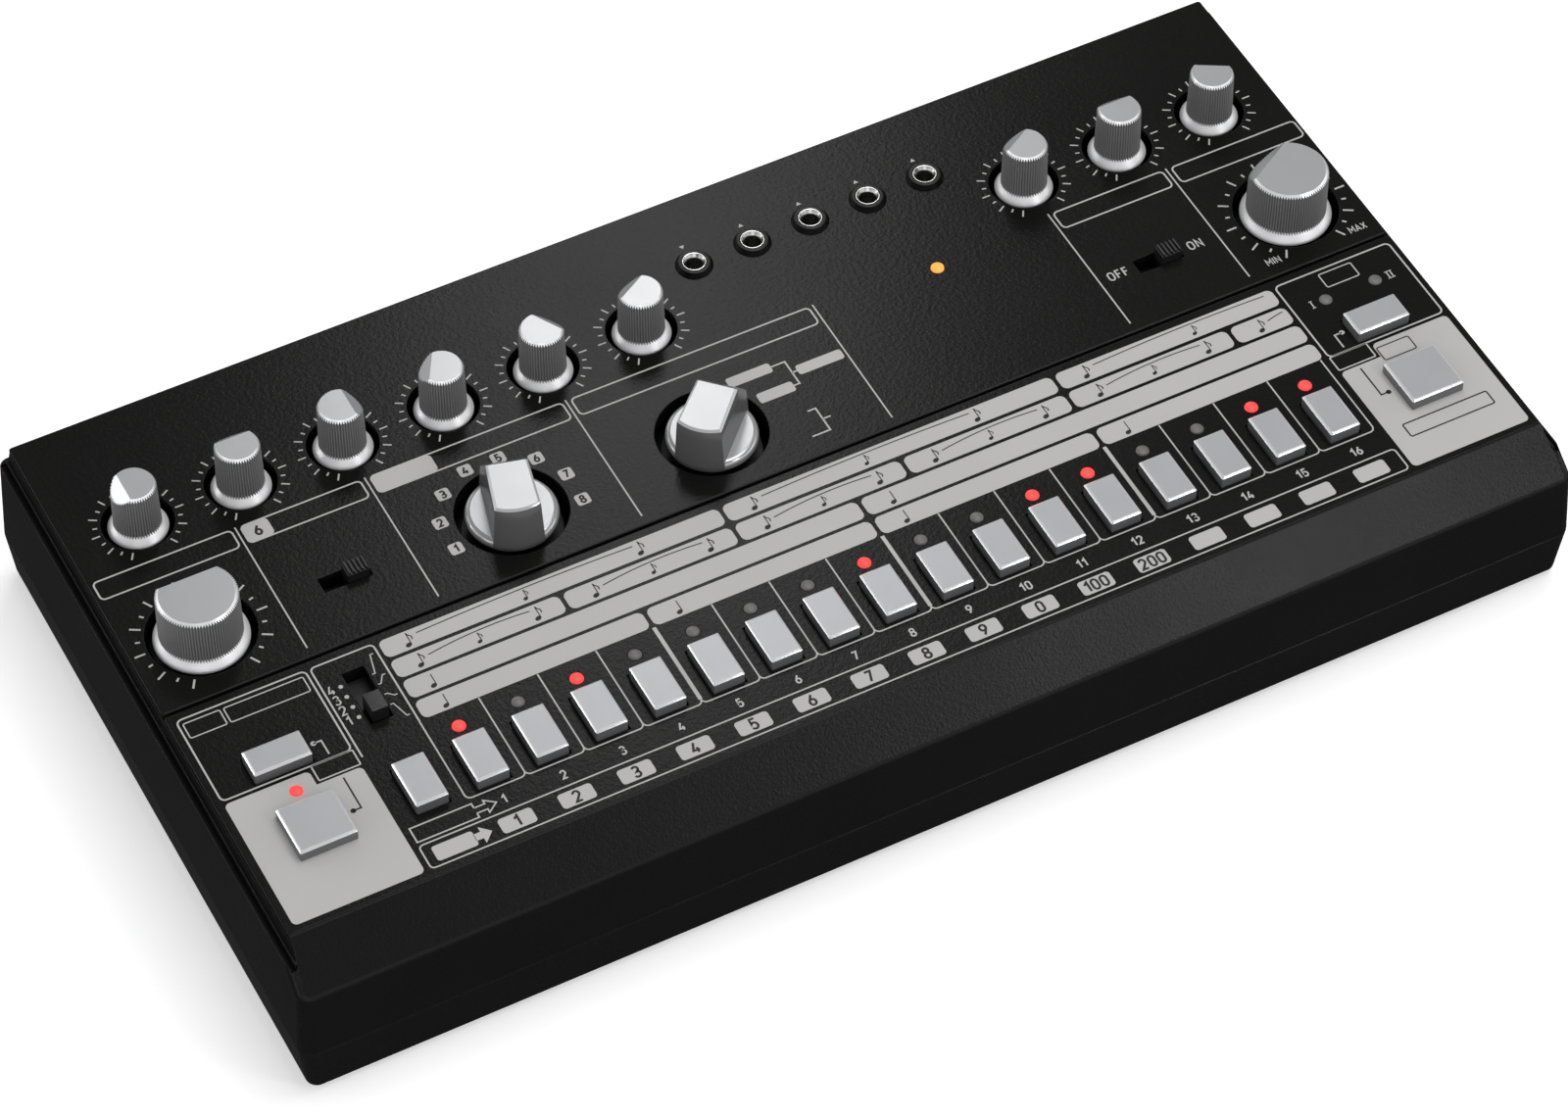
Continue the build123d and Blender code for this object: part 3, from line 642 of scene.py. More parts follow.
def selector(name, node, x, y, ang):
    z0, zt, ch = 39.4, 52.3, 0.5
    bm = bmesh.new()

    def width(yy, z):
        t = (z - z0) / (zt - z0)
        return 5.68 * (1 - t) + t * (5.08 - (yy + 12) / 24 * 0.73)

    def section(z, off):
        # one horizontal outline: two arcs joined by straight flanks
        r = 10.26 - 0.21 * (z - z0) / (zt - z0) - off
        zc = min(z, zt)

        def end(sgn):
            yy = sgn * 8.5
            for _ in range(8):
                w = width(yy, zc) - off
                yy = sgn * math.sqrt(max(r * r - w * w, 0.0))
            return w, yy
        wf, yf = end(-1)
        wb, yb = end(1)
        pts = []
        a0 = math.atan2(yf, -wf)
        a1 = math.atan2(yf, wf)
        for k in range(25):
            t = a0 + (a1 - a0) * k / 24
            pts.append((r * math.cos(t), r * math.sin(t)))
        for k in range(1, 12):
            yy = yf + (yb - yf) * k / 12
            pts.append((width(yy, zc) - off, yy))
        a0 = math.atan2(yb, wb)
        a1 = math.atan2(yb, -wb)
        for k in range(25):
            t = a0 + (a1 - a0) * k / 24
            pts.append((r * math.cos(t), r * math.sin(t)))
        for k in range(1, 12):
            yy = yb + (yf - yb) * k / 12
            pts.append((-(width(yy, zc) - off), yy))
        return [bm.verts.new((q[0], q[1], z)) for q in pts]

    levels = [section(39.25, 0.0), section(42.0, 0.0), section(45.0, 0.0), section(49.0, 0.0), section(zt - ch - 0.06, 0.0),
              section(zt - ch + 0.03, 0.03), section(zt - 0.05, ch - 0.03), section(zt, ch + 0.05)]
    for A, B in zip(levels, levels[1:]):
        n = len(A)
        for k in range(n):
            bm.faces.new((A[k], A[(k + 1) % n], B[(k + 1) % n], B[k]))
    bm.faces.new(levels[-1])
    bm.faces.new(list(reversed(levels[0])))
    bm.normal_update()
    for f in bm.faces:
        up = f.normal.z
        # up-facing faces take the top grey, chamfers the lighter painted-highlight copy, steep sides the darker
        # painted-shade copy
        f.material_index = 0 if up > 0.92 else (2 if up > 0.35 else 1)
    sl = math.radians(48.0)
    geom = bm.verts[:] + bm.edges[:] + bm.faces[:]
    res = bmesh.ops.bisect_plane(bm, geom=geom, plane_co=(0, 3.75, zt), plane_no=(0, math.sin(sl), math.cos(sl)), clear_outer=True)
    cut = [e for e in res["geom_cut"] if isinstance(e, bmesh.types.BMEdge)]
    capf = bmesh.ops.contextual_create(bm, geom=cut)["faces"]
    # the sloping cut takes the darker painted-shade copy
    for f in capf:
        f.material_index = 3
    bmesh.ops.remove_doubles(bm, verts=bm.verts, dist=1e-4)
    lip = [e for e in bm.edges if any(f.material_index == 3 for f in e.link_faces) and len(e.link_faces) == 2]
    bmesh.ops.bevel(bm, geom=lip, offset=0.12, segments=2, profile=0.6, affect="EDGES", clamp_overlap=True, material=1)
    for f in bm.faces:
        f.smooth = len(f.verts) < 6
    for e in bm.edges:
        if len(e.link_faces) == 2 and (e.calc_face_angle(0) > math.radians(26) or not all(f.smooth for f in e.link_faces)):
            e.smooth = False
    # round disc under the bar
    prof = [(0.0, 41.4)] + [(8.95 + 1.26 * math.sin(math.radians(t)), 39.9 + 1.5 * math.cos(math.radians(t))) for t in range(0, 91, 9)]
    prof += [(10.21, 39.45), (10.15, 39.28), (10.05, 39.2), (0.0, 39.2)]
    seg = 128
    ringv = []
    for r, z in prof:
        if r == 0.0:
            ringv.append([bm.verts.new((0, 0, z))])
        else:
            ringv.append([bm.verts.new((r * math.cos(2 * math.pi * i / seg), r * math.sin(2 * math.pi * i / seg), z)) for i in range(seg)])
    for k in range(len(prof) - 1):
        A, B = ringv[k], ringv[k + 1]
        for i in range(seg):
            j = (i + 1) % seg
            if len(A) == 1:
                f = bm.faces.new((A[0], B[i], B[j]))
            elif len(B) == 1:
                f = bm.faces.new((A[i], B[0], A[j]))
            else:
                f = bm.faces.new((A[i], B[i], B[j], A[j]))
            f.smooth = k > 0
            f.material_index = 4 if k > 0 else 0
    rot = Matrix.Rotation(math.radians(-ang), 4, "Z")
    bm.transform(Matrix.Translation((x, y, 0)) @ rot)
    bm.transform(Matrix.Scale(MM, 4))
    me = bpy.data.meshes.new(name)
    bm.to_mesh(me)
    bm.free()
    for k in ("knob_top", "sel_side_painted_shade", "sel_edge_painted_highlight", "sel_side_painted_shade", "sel_disc"):
        me.materials.append(M[k])
    o = bpy.data.objects.new(name, me)
    bpy.context.scene.collection.objects.link(o)
    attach(o, node)
    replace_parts(o, node)


# painted highlight: lighter copy of the selector grey for the top chamfer
a = Mat("selector_edge_painted_highlight", (0.50, 0.50, 0.51), 0.25, metal=0.4, spec=0.5)
a.vary(9, (0.49, 0.49, 0.50), (0.51, 0.51, 0.52))
a.rough_var(6, 0.235, 0.265)
a.bump([(a.noise(0.35, 2), 0.005, 0.3)])
M["sel_edge_painted_highlight"] = a.m
a = Mat("selector_disc", (0.42, 0.42, 0.428), 0.2, metal=0.55, spec=0.5)
a.vary(9, (0.41, 0.41, 0.418), (0.43, 0.43, 0.438))
a.rough_var(6, 0.19, 0.22)
a.bump([(a.noise(0.35, 2), 0.005, 0.3)])
M["sel_disc"] = a.m
# painted shade: darker copy of the selector grey for its steep sides and sloping cut
a = Mat("selector_side_painted_shade", (0.135, 0.135, 0.138), 0.25, metal=0.25, spec=0.5)
a.vary(9, (0.131, 0.131, 0.134), (0.139, 0.139, 0.142))
a.rough_var(6, 0.235, 0.265)
a.bump([(a.noise(0.35, 2), 0.005, 0.3)])
M["sel_side_painted_shade"] = a.m
selector("cap_instrument", "selector_instrument", px(3.089), BIG_Y, 15)
selector("cap_mode", "selector_mode", px(6.622), BIG_Y, 45)


# =====================================================================================
# slide caps
# =====================================================================================
def box_bm(bm, x0, x1, y0, y1, z0, z1, bevel=0.0, taper=0.0):
    vs = [bm.verts.new(c) for c in (
        (x0, y0, z0), (x1, y0, z0), (x1, y1, z0), (x0, y1, z0),
        (x0 + taper, y0 + taper, z1), (x1 - taper, y0 + taper, z1), (x1 - taper, y1 - taper, z1), (x0 + taper, y1 - taper, z1))]
    fs = [bm.faces.new([vs[i] for i in q]) for q in ((3, 2, 1, 0), (4, 5, 6, 7), (0, 1, 5, 4), (1, 2, 6, 5), (2, 3, 7, 6), (3, 0, 4, 7))]
    if bevel:
        ed = list({e for f in fs for e in f.edges if max(v.co.z for v in e.verts) > z0 + 1e-6})
        bmesh.ops.bevel(bm, geom=ed, offset=bevel, segments=2, profile=0.6, affect="EDGES", clamp_overlap=True)


def bm_object(name, bm, mats, body, angle=30, flank=None):
    """Turn a bmesh in millimetres into a piece; when flank is given, steep faces take the second material, a darker
    copy that carries painted shade.
    """
    for f in bm.faces:
        f.smooth = True
    bmesh.ops.recalc_face_normals(bm, faces=bm.faces)
    if flank is not None:
        for f in bm.faces:
            if f.normal.z < flank:
                f.material_index = 1
    for e in bm.edges:
        if len(e.link_faces) == 2 and e.calc_face_angle(0) > math.radians(angle):
            e.smooth = False
    bm.transform(Matrix.Scale(MM, 4))
    me = bpy.data.meshes.new(name)
    bm.to_mesh(me)
    bm.free()
    for m in mats:
        me.materials.append(m)
    o = bpy.data.objects.new(name, me)
    bpy.context.scene.collection.objects.link(o)
    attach(o, body)
    return o


# fine bead at the foot of the raised deck, along both sides
bm = bmesh.new()
for sgn in (-1, 1):
    sec = ((149.0, 35.9), (149.62, 35.9), (149.62, 37.06), (149.5, 37.18), (149.0, 37.18))
    a = [bm.verts.new((sgn * q, -75.6, z)) for q, z in sec]
    b = [bm.verts.new((sgn * q, 75.4, z)) for q, z in sec]
    for k in range(5):
        bm.faces.new((a[k], a[(k + 1) % 5], b[(k + 1) % 5], b[k]))
    bm.faces.new(a)
    bm.faces.new(b)
bm_object("deck_beads", bm, [M["case"]], "unit", 30)

SW_Y = py(5.753)
for node, u in (("slider_cymbal_clap", 0.20), ("slider_distortion", 14.80)):
    xr = px(u) + 2.5
    bm = bmesh.new()
    box_bm(bm, xr - 1.7, xr + 1.7, SW_Y - 1.0, SW_Y + 1.0, 33.3, 36.5)
    box_bm(bm, xr - 2.5, xr + 2.5, SW_Y - 1.9, SW_Y + 1.9, 36.0, 42.75, 0.15)
    for k in range(5):
        cx = xr - 2.0 + k * 1.0
        box_bm(bm, cx - 0.3, cx + 0.3, SW_Y - 1.85, SW_Y + 1.85, 42.6, 43.4, 0.13, 0.08)
    o = bm_object("lever_" + node[7:], bm, [M["slider"], M["slider_side_painted_shade"]], node, flank=0.55)
    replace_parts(o, node)
SCALE_X, SCALE_Y1 = px(-0.484), py(3.137)
bm = bmesh.new()
box_bm(bm, SCALE_X - 1.0, SCALE_X + 1.0, SCALE_Y1 - 1.6, SCALE_Y1 + 1.6, 33.5, 36.5)
box_bm(bm, SCALE_X - 2.0, SCALE_X + 2.0, SCALE_Y1 - 2.7, SCALE_Y1 + 2.7, 36.0, 43.8, 0.3, 0.12)
o = bm_object("lever_scale", bm, [M["slider"], M["slider_side_painted_shade"]], "slider_scale", flank=0.55)
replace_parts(o, "slider_scale")
# dust strip under the opening, carried along by the lever
bm = bmesh.new()
box_bm(bm, SCALE_X - 3.2, SCALE_X + 3.2, SCALE_Y1 - 12.3, SCALE_Y1 + 12.3, 35.75, 36.45, 0.12)
bm_object("scale_dust_strip", bm, [M["slider"]], "slider_scale")


# =====================================================================================
# lamps
# =====================================================================================
LEDS = [(px(i + 0.5), py(2.27)) for i in range(16)] + [(px(-2.216), py(2.27)), (px(16.758), py(3.716)), (px(17.695), py(3.716))]
LIT = (0, 2, 7, 10, 11, 14, 15, 16)


def lamp(bm, x, y, top=41.15, r=1.5):
    seg = 32
    prof = [(r, 38.5), (r, top - 0.55)]
    for k in range(1, 7):
        t = math.radians(90 * k / 6)
        prof.append((r * math.cos(t), top - 0.55 + 0.55 * math.sin(t)))
    prev = None
    for q, z in prof:
        if q < 1e-5:
            c = bm.verts.new((x, y, z))
            for i in range(seg):
                bm.faces.new((prev[i], prev[(i + 1) % seg], c))
        else:
            ring = [bm.verts.new((x + q * math.cos(2 * math.pi * i / seg), y + q * math.sin(2 * math.pi * i / seg), z)) for i in range(seg)]
            if prev:
                for i in range(seg):
                    j = (i + 1) % seg
                    bm.faces.new((prev[i], prev[j], ring[j], ring[i]))
            prev = ring


for nm, node, key, slot, pick in (("lamps_lit", "leds_lit", "red", "led_red_on", lambda k: k in LIT),
                                  ("lamps_dark", "leds_unlit", "off", "led_off", lambda k: k not in LIT)):
    bm = bmesh.new()
    for k, (x, y) in enumerate(LEDS):
        if pick(k):
            lamp(bm, x, y)
    o = bm_object(nm, bm, [M[key]], "unit", 60)
    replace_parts(o, node)
bm = bmesh.new()
lamp(bm, px(11.505), py(7.242), 41.3)
o = bm_object("lamp_power", bm, [M["amber"]], "unit", 60)
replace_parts(o, "power_led")


# =====================================================================================
# jack rims
# =====================================================================================
JACKS = [px(8.021 + 1.0685 * i) for i in range(5)]
JACK_Y = py(9.137)


def turned(bm, x, y, prof, seg=64, closed=True, mat=0):
    rings = []
    for r, z in prof:
        rings.append([bm.verts.new((x + r * math.cos(2 * math.pi * i / seg), y + r * math.sin(2 * math.pi * i / seg), z)) for i in range(seg)])
    n = len(rings)
    for k in range(n if closed else n - 1):
        A, B = rings[k], rings[(k + 1) % n]
        for i in range(seg):
            j = (i + 1) % seg
            f = bm.faces.new((A[i], A[j], B[j], B[i]))
            f.material_index = mat


bm = bmesh.new()
for x in JACKS:
    turned(bm, x, JACK_Y, [(4.3, 40.6), (4.3, 40.72), (4.24, 40.82), (3.66, 41.54), (3.56, 41.64), (3.42, 41.7),
                           (2.92, 41.7), (2.82, 41.66), (2.78, 41.56), (2.78, 40.6)])
o = bm_object("jack_nuts", bm, [M["jack"], M["jack_side_painted_shade"]], "unit", 30, flank=0.9)
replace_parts(o, "minijack_nuts")
bm = bmesh.new()
for x in JACKS:
    box_bm(bm, x - 4.5, x + 4.5, JACK_Y - 5.2, JACK_Y + 5.2, 29.6, 36.5, 0.3)
    turned(bm, x, JACK_Y, [(2.95, 36.4), (2.95, 39.4), (2.74, 39.6), (2.74, 41.2), (2.3, 41.2), (2.3, 36.4)])
o = bm_object("jack_bodies", bm, [M["jack"]], "unit", 35)
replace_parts(o, "minijack_sockets")
bm = bmesh.new()
for x in JACKS:
    turned(bm, x, JACK_Y, [(2.70, 41.2), (2.70, 41.66), (2.66, 41.74), (2.58, 41.76), (2.49, 41.73), (2.44, 41.65), (2.44, 41.2)])
    turned(bm, x, JACK_Y, [(2.45, 41.62), (1.98, 41.02), (1.91, 40.88), (1.88, 40.7), (1.88, 36.6), (2.28, 36.6),
                           (2.28, 39.5), (2.69, 39.5), (2.69, 41.2), (2.45, 41.2)], mat=1)
bm_object("jack_rims", bm, [M["chrome"], M["jack_bore"]], "unit", 35)


# =====================================================================================
# screen print: flat ink shapes just proud of the panel
# =====================================================================================
ink = {"w": ([], []), "k": ([], [])}
ZI = {"w": ZT + 0.02, "k": ZT + 0.045}
lift = 0.0


def add_poly(pts, layer="w"):
    v, f = ink[layer]
    b = len(v)
    v += [(x, y, ZI[layer] + lift) for x, y in pts]
    f.append(tuple(range(b, b + len(pts))))


def add_mesh(pts, polys, layer="w"):
    v, f = ink[layer]
    b = len(v)
    v += [(x, y, ZI[layer] + lift) for x, y in pts]
    f += [tuple(b + i for i in p) for p in polys]


def R(x0, y0, x1, y1, r=0.0, layer="w"):
    """Filled rounded rectangle, layout units."""
    X0, X1, Y0, Y1 = px(x0), px(x1), py(y0), py(y1)
    loop = rrect(X1 - X0, Y1 - Y0, max(r, 0.004) * PITCH, 6)
    add_poly([(x + (X0 + X1) / 2, y + (Y0 + Y1) / 2) for x, y in loop], layer)


def B(x0, y0, x1, y1, w=0.03, r=0.08, layer="w"):
    """Outline of a rounded rectangle; the line is centred on the given edges."""
    X0, X1, Y0, Y1 = px(x0), px(x1), py(y0), py(y1)
    h = w * PITCH / 2
    rr = max(r * PITCH, h + 0.05)
    o1 = rrect(X1 - X0 + 2 * h, Y1 - Y0 + 2 * h, rr + h, 6)
    i1 = rrect(X1 - X0 - 2 * h, Y1 - Y0 - 2 * h, rr - h, 6)
    n = len(o1)
    cx, cy = (X0 + X1) / 2, (Y0 + Y1) / 2
    pts = [(x + cx, y + cy) for x, y in o1 + i1]
    add_mesh(pts, [(i, (i + 1) % n, n + (i + 1) % n, n + i) for i in range(n)], layer)


def stroke(pts, w, layer="w", closed=False):
    """Line through points in mm, mitred."""
    h = w / 2
    n = len(pts)
    out = []
    for i in range(n):
        a = Vector(pts[i - 1]) if (i > 0 or closed) else None
        b = Vector(pts[i])
        c = Vector(pts[(i + 1) % n]) if (i < n - 1 or closed) else None
        d1 = (b - a).normalized() if a is not None else None
        d2 = (c - b).normalized() if c is not None else None
        if d1 is None:
            d1 = d2
        if d2 is None:
            d2 = d1
        t = (d1 + d2)
        if t.length < 1e-6:
            t = d1
        t.normalize()
        nrm = Vector((-t.y, t.x))
        k = h / max(0.35, nrm.dot(Vector((-d1.y, d1.x))))
        out.append((b + nrm * k, b - nrm * k))
    P = [tuple(o[0]) for o in out] + [tuple(o[1]) for o in out]
    m = n if closed else n - 1
    add_mesh(P, [(n + i, n + (i + 1) % n, (i + 1) % n, i) for i in range(m)], layer)


def L(pts, w=0.03, layer="w"):
    stroke([(px(x), py(y)) for x, y in pts], w * PITCH, layer)


def disc(x, y, r, layer="w", n=24):
    add_poly([(x + r * math.cos(2 * math.pi * i / n), y + r * math.sin(2 * math.pi * i / n)) for i in range(n)], layer)


def curve(cx, cy, rx, ry, a0, a1, n=12):
    """Points on an ellipse, angles counter-clockwise from +x."""
    return [(cx + rx * math.cos(math.radians(a0 + (a1 - a0) * k / n)), cy + ry * math.sin(math.radians(a0 + (a1 - a0) * k / n))) for k in range(n + 1)]


# plain stencil-like numerals and letters as centre lines: (advance, [(points, closed), ...]), height 1
GLYPH = {
    "0": (0.50, [(curve(0.25, 0.73, 0.25, 0.27, 0, 180)[:-1] + [(0.0, 0.73)] + curve(0.25, 0.27, 0.25, 0.27, 180, 360), True)]),
    "1": (0.30, [([(0.0, 0.72), (0.28, 0.98), (0.28, 0.0)], False)]),
    "2": (0.50, [(curve(0.25, 0.72, 0.245, 0.28, 168, -32) + [(0.02, 0.0), (0.5, 0.0)], False)]),
    "3": (0.50, [(curve(0.24, 0.755, 0.225, 0.245, 155, -80) + curve(0.24, 0.265, 0.26, 0.265, 78, -155), False)]),
    "4": (0.54, [([(0.30, 1.0), (0.0, 0.26), (0.54, 0.26)], False), ([(0.38, 0.50), (0.38, 0.0)], False)]),
    "5": (0.50, [([(0.46, 1.0), (0.07, 1.0), (0.04, 0.50)] + curve(0.235, 0.31, 0.26, 0.31, 128, -150), False)]),
    "6": (0.50, [(curve(0.25, 0.29, 0.25, 0.29, 0, 360)[:-1], True), ([(0.03, 0.42), (0.36, 1.0)], False)]),
    "7": (0.48, [([(0.0, 1.0), (0.48, 1.0), (0.17, 0.0)], False)]),
    "8": (0.52, [(curve(0.26, 0.76, 0.215, 0.24, 0, 360)[:-1], True), (curve(0.26, 0.27, 0.26, 0.27, 0, 360)[:-1], True)]),
    "9": (0.50, [(curve(0.25, 0.71, 0.25, 0.29, 0, 360)[:-1], True), ([(0.47, 0.58), (0.14, 0.0)], False)]),
    "O": (0.56, [(curve(0.28, 0.70, 0.28, 0.30, 0, 180)[:-1] + [(0.0, 0.70)] + curve(0.28, 0.30, 0.28, 0.30, 180, 360), True)]),
    "F": (0.42, [([(0.42, 1.0), (0.0, 1.0), (0.0, 0.0)], False), ([(0.0, 0.52), (0.36, 0.52)], False)]),
    "N": (0.54, [([(0.0, 0.0), (0.0, 1.0), (0.54, 0.0), (0.54, 1.0)], False)]),
    "M": (0.66, [([(0.0, 0.0), (0.0, 1.0), (0.33, 0.38), (0.66, 1.0), (0.66, 0.0)], False)]),
    "I": (0.0, [([(0.0, 0.0), (0.0, 1.0)], False)]),
    "A": (0.60, [([(0.0, 0.0), (0.30, 1.0), (0.60, 0.0)], False), ([(0.10, 0.29), (0.50, 0.29)], False)]),
    "X": (0.54, [([(0.0, 0.0), (0.54, 1.0)], False), ([(0.0, 1.0), (0.54, 0.0)], False)]),
}


def T(text, x, y, h, layer="w", weight=0.165, gap=0.34):
    """Numerals and plain letters drawn as mitred lines; h is the height in layout units."""
    global lift
    X, Y, H = px(x), py(y), h * PITCH * (1 - weight)
    w = H * weight / (1 - weight)
    total = sum(GLYPH[c][0] for c in text) + gap * (len(text) - 1)
    cx = -total / 2
    for c in text:
        adv, lines = GLYPH[c]
        for k, (pts, closed) in enumerate(lines):
            lift = 0.006 * k
            stroke([(X + (cx + q[0]) * H, Y + (q[1] - 0.5) * H) for q in pts], w, layer, closed)
        cx += adv + gap
    lift = 0.0


def arc(cx, cy, r, a0, a1, w, layer="w", n=16):
    """Angles clockwise from straight back, mm."""
    pts = []
    for i in range(n + 1):
        a = math.radians(a0 + (a1 - a0) * i / n)
        pts.append((cx + r * math.sin(a), cy + r * math.cos(a)))
    stroke(pts, w, layer)


def ticks(cx, cy, r0, r1, r0s, r1s, w):
    for k in range(21):
        a = math.radians(-150 + 15 * k)
        q0, q1 = (r0, r1) if k % 2 == 0 else (r0s, r1s)
        stroke([(cx + q0 * math.sin(a), cy + q0 * math.cos(a)), (cx + q1 * math.sin(a), cy + q1 * math.cos(a))], w)


for x, a in SMALL.values():
    ticks(x, SMALL_Y, 8.7, 10.6, 8.7, 9.7, 0.36)
for x, a in BIG.values():
    ticks(x, BIG_Y, 12.75, 15.2, 12.95, 14.0, 0.46)

# upper panel ------------------------------------------------------------------------
for x0, x1 in ((-3.347, -0.995), (-0.837, 1.232), (1.4, 4.779), (4.937, 9.232), (13.768, 15.842), (16.01, 18.363)):
    B(x0, 7.058, x1, 7.442)
lift = 0.006
R(-0.837, 7.058, -0.389, 7.442, 0.09)
R(1.4, 7.058, 2.442, 7.442, 0.09)
lift = 0.0
T("6", -0.613, 7.25, 0.225, "k", weight=0.19)
for x in (-0.916, 1.321, 4.853, 9.316, 13.689, 15.921):
    L([(x, 4.726), (x, 7.463)], 0.026)
T("OFF", 14.05, 5.763, 0.195, weight=0.145)
T("ON", 15.495, 5.763, 0.195, weight=0.145)
T("MIN", 16.442, 4.847, 0.15, weight=0.135, gap=0.32)
T("MAX", 18.047, 4.847, 0.15, weight=0.135, gap=0.26)
for k, (x, y) in enumerate(((1.982, 5.471), (1.982, 6.06), (2.273, 6.573), (2.796, 6.86), (3.373, 6.86), (3.907, 6.573), (4.184, 6.06), (4.184, 5.471))):
    R(x - 0.1165, y - 0.1165, x + 0.1165, y + 0.1165, 0.05)
    T(str(k + 1), x, y, 0.175, "k", weight=0.19)
R(7.311, 6.468, 8.095, 6.679, 0.05)
R(7.6, 5.942, 8.242, 6.163, 0.05)
R(8.437, 6.205, 9.258, 6.416, 0.05)
L([(8.095, 6.574), (8.345, 6.574), (8.345, 6.052), (8.242, 6.052)], 0.03)
L([(8.345, 6.311), (8.437, 6.311)], 0.03)
L([(8.18, 5.463), (8.32, 5.463), (8.32, 4.953), (8.0, 4.953)], 0.03)
L([(8.32, 5.211), (8.46, 5.211)], 0.03)
for i, x in enumerate(JACKS):
    y = py(9.574)
    s = 0.62
    if i == 0:
        add_poly([(x - s, y + 0.45), (x, y - 0.55), (x + s, y + 0.45)])
    else:
        add_poly([(x - s, y - 0.5), (x + s, y - 0.5), (x, y + 0.5)])


# lower panel --------------------------------------------------------------------------
def note(x, y, s=1.0, flag=False):
    """Quarter or eighth note, dark ink; (x, y) is the middle of the head."""
    X, Y = px(x), py(y)
    pts = []
    for i in range(20):
        a = 2 * math.pi * i / 20
        u, v = 0.72 * s * math.cos(a), 0.52 * s * math.sin(a)
        c, q = math.cos(0.4), math.sin(0.4)
        pts.append((X + u * c - v * q, Y + u * q + v * c))
    add_poly(pts, "k")
    stroke([(X + 0.58 * s, Y + 0.1 * s), (X + 0.58 * s, Y + 3.05 * s)], 0.22, "k")
    if flag:
        stroke([(X + 0.56 * s, Y + 3.05 * s), (X + 0.75 * s, Y + 2.5 * s), (X + 1.25 * s, Y + 2.0 * s), (X + 1.35 * s, Y + 1.6 * s), (X + 1.2 * s, Y + 1.1 * s)], 0.25 * s, "k")


def slur(x0, y0, x1, y1, rise):
    pts = []
    for i in range(15):
        t = i / 14
        pts.append((px(x0 + (x1 - x0) * t), py(y0 + (y1 - y0) * t) + rise * 4 * t * (1 - t)))
    stroke(pts, 0.25, "k")


GAP = 0.036
for y0, y1, gaps in ((3.963, 4.332, (6, 12)), (3.516, 3.895, (3, 6, 9, 12, 15)), (3.068, 3.453, (8,)), (2.632, 3.005, (4, 8, 12))):
    edges = [0.084] + [g for g in gaps] + [16.07]
    for k in range(len(edges) - 1):
        a = edges[k] + (GAP if k else 0)
        b = edges[k + 1] - (GAP if k < len(edges) - 2 else 0)
        R(a, y0, b, y1, 0.11)
for s in (0, 6, 12):
    y = 4.055
    for dx, fl, sc in ((0.5, True, 1.05), (2.5, True, 0.8), (4.5, True, 1.05)):
        if s + dx < 16:
            note(s + dx, y, sc, fl)
    if s < 12:
        slur(s + 0.70, 4.225, s + 4.44, 4.235, 0.5)
    else:
        slur(s + 0.70, 4.225, s + 3.9, 4.245, 0.5)
for s in (0, 3, 6, 9, 12):
    y = 3.61
    for dx, fl, sc in ((0.5, True, 1.05), (1.5, True, 0.8), (2.5, True, 1.05)):
        note(s + dx, y, sc, fl)
    slur(s + 0.68, 3.745, s + 2.44, 3.80, 0.75)
note(15.5, 3.61, 1.05, True)
slur(15.68, 3.745, 16.0, 3.81, 0.1)
for x in (0.5, 8.5):
    note(x, 3.155, 1.02)
for x in (0.5, 4.5, 8.5, 12.5):
    note(x, 2.715, 1.02)

# cells around the keys: one scalloped line along the bottom, one divider between neighbours
r = 0.09
for i in range(16):
    x0, x1 = float(i), float(i + 1)
    pts = [(px(x0), py(0.937 + r))]
    for k in range(1, 6):
        t = math.radians(180 + 90 * k / 6)
        pts.append((px(x0 + r + r * math.cos(t)), py(0.937 + r + r * math.sin(t))))
    pts.append((px(x0 + r), py(0.937)))
    pts.append((px(x1 - r), py(0.937)))
    for k in range(1, 6):
        t = math.radians(270 + 90 * k / 6)
        pts.append((px(x1 - r + r * math.cos(t)), py(0.937 + r + r * math.sin(t))))
    pts.append((px(x1), py(0.937 + r)))
    lift = 0.004 * (i % 2)
    stroke(pts, 0.026 * PITCH)
lift = 0.008
for i in range(17):
    stroke([(px(i), py(2.62)), (px(i), py(0.937 + r))], (0.065 if i in (4, 8, 12) else 0.026) * PITCH)
lift = 0.0
for i in range(16):
    T(str(i + 1), i + 0.5, 0.689, 0.18)
B(-1.03, 0.0, 16.06, 0.468, 0.026, 0.07)
labels = ["1", "2", "3", "4", "5", "6", "7", "8", "9", "0", "100", "200", "", "", "", ""]
for i, t in enumerate(labels):
    x = i + 0.5
    R(x - 0.284, 0.079, x + 0.284, 0.374, 0.06)
    if t:
        T(t, x, 0.2265, 0.238, "k", weight=0.165, gap=0.31)
# tag with arrow before the first pill
R(-0.879, 0.079, -0.2, 0.374, 0.05)
add_poly([(px(-0.21), py(0.16)), (px(-0.09), py(0.16)), (px(-0.09), py(0.06)), (px(0.08), py(0.2265)), (px(-0.09), py(0.393)), (px(-0.09), py(0.293)), (px(-0.21), py(0.293))])
# outlined tag before the first number
L([(0.02, 0.63), (0.02, 0.545), (-1.01, 0.545), (-1.01, 0.832), (0.02, 0.832), (0.02, 0.74)], 0.026)
L([(0.02, 0.63), (0.2, 0.63), (0.2, 0.56), (0.37, 0.686), (0.2, 0.81), (0.2, 0.74), (0.02, 0.74)], 0.024)

# left block
B(-3.295, 2.605, -1.137, 4.332, 0.03, 0.09)
B(-3.221, 3.932, -2.611, 4.237, 0.022, 0.03)
B(-2.547, 3.932, -1.216, 4.237, 0.022, 0.03)
disc(px(-1.611), py(2.979), 0.62)
L([(-1.611, 2.979), (-1.479, 2.979), (-1.479, 2.689)], 0.028)
B(-1.826, 2.289, -1.137, 2.595, 0.026, 0.02)
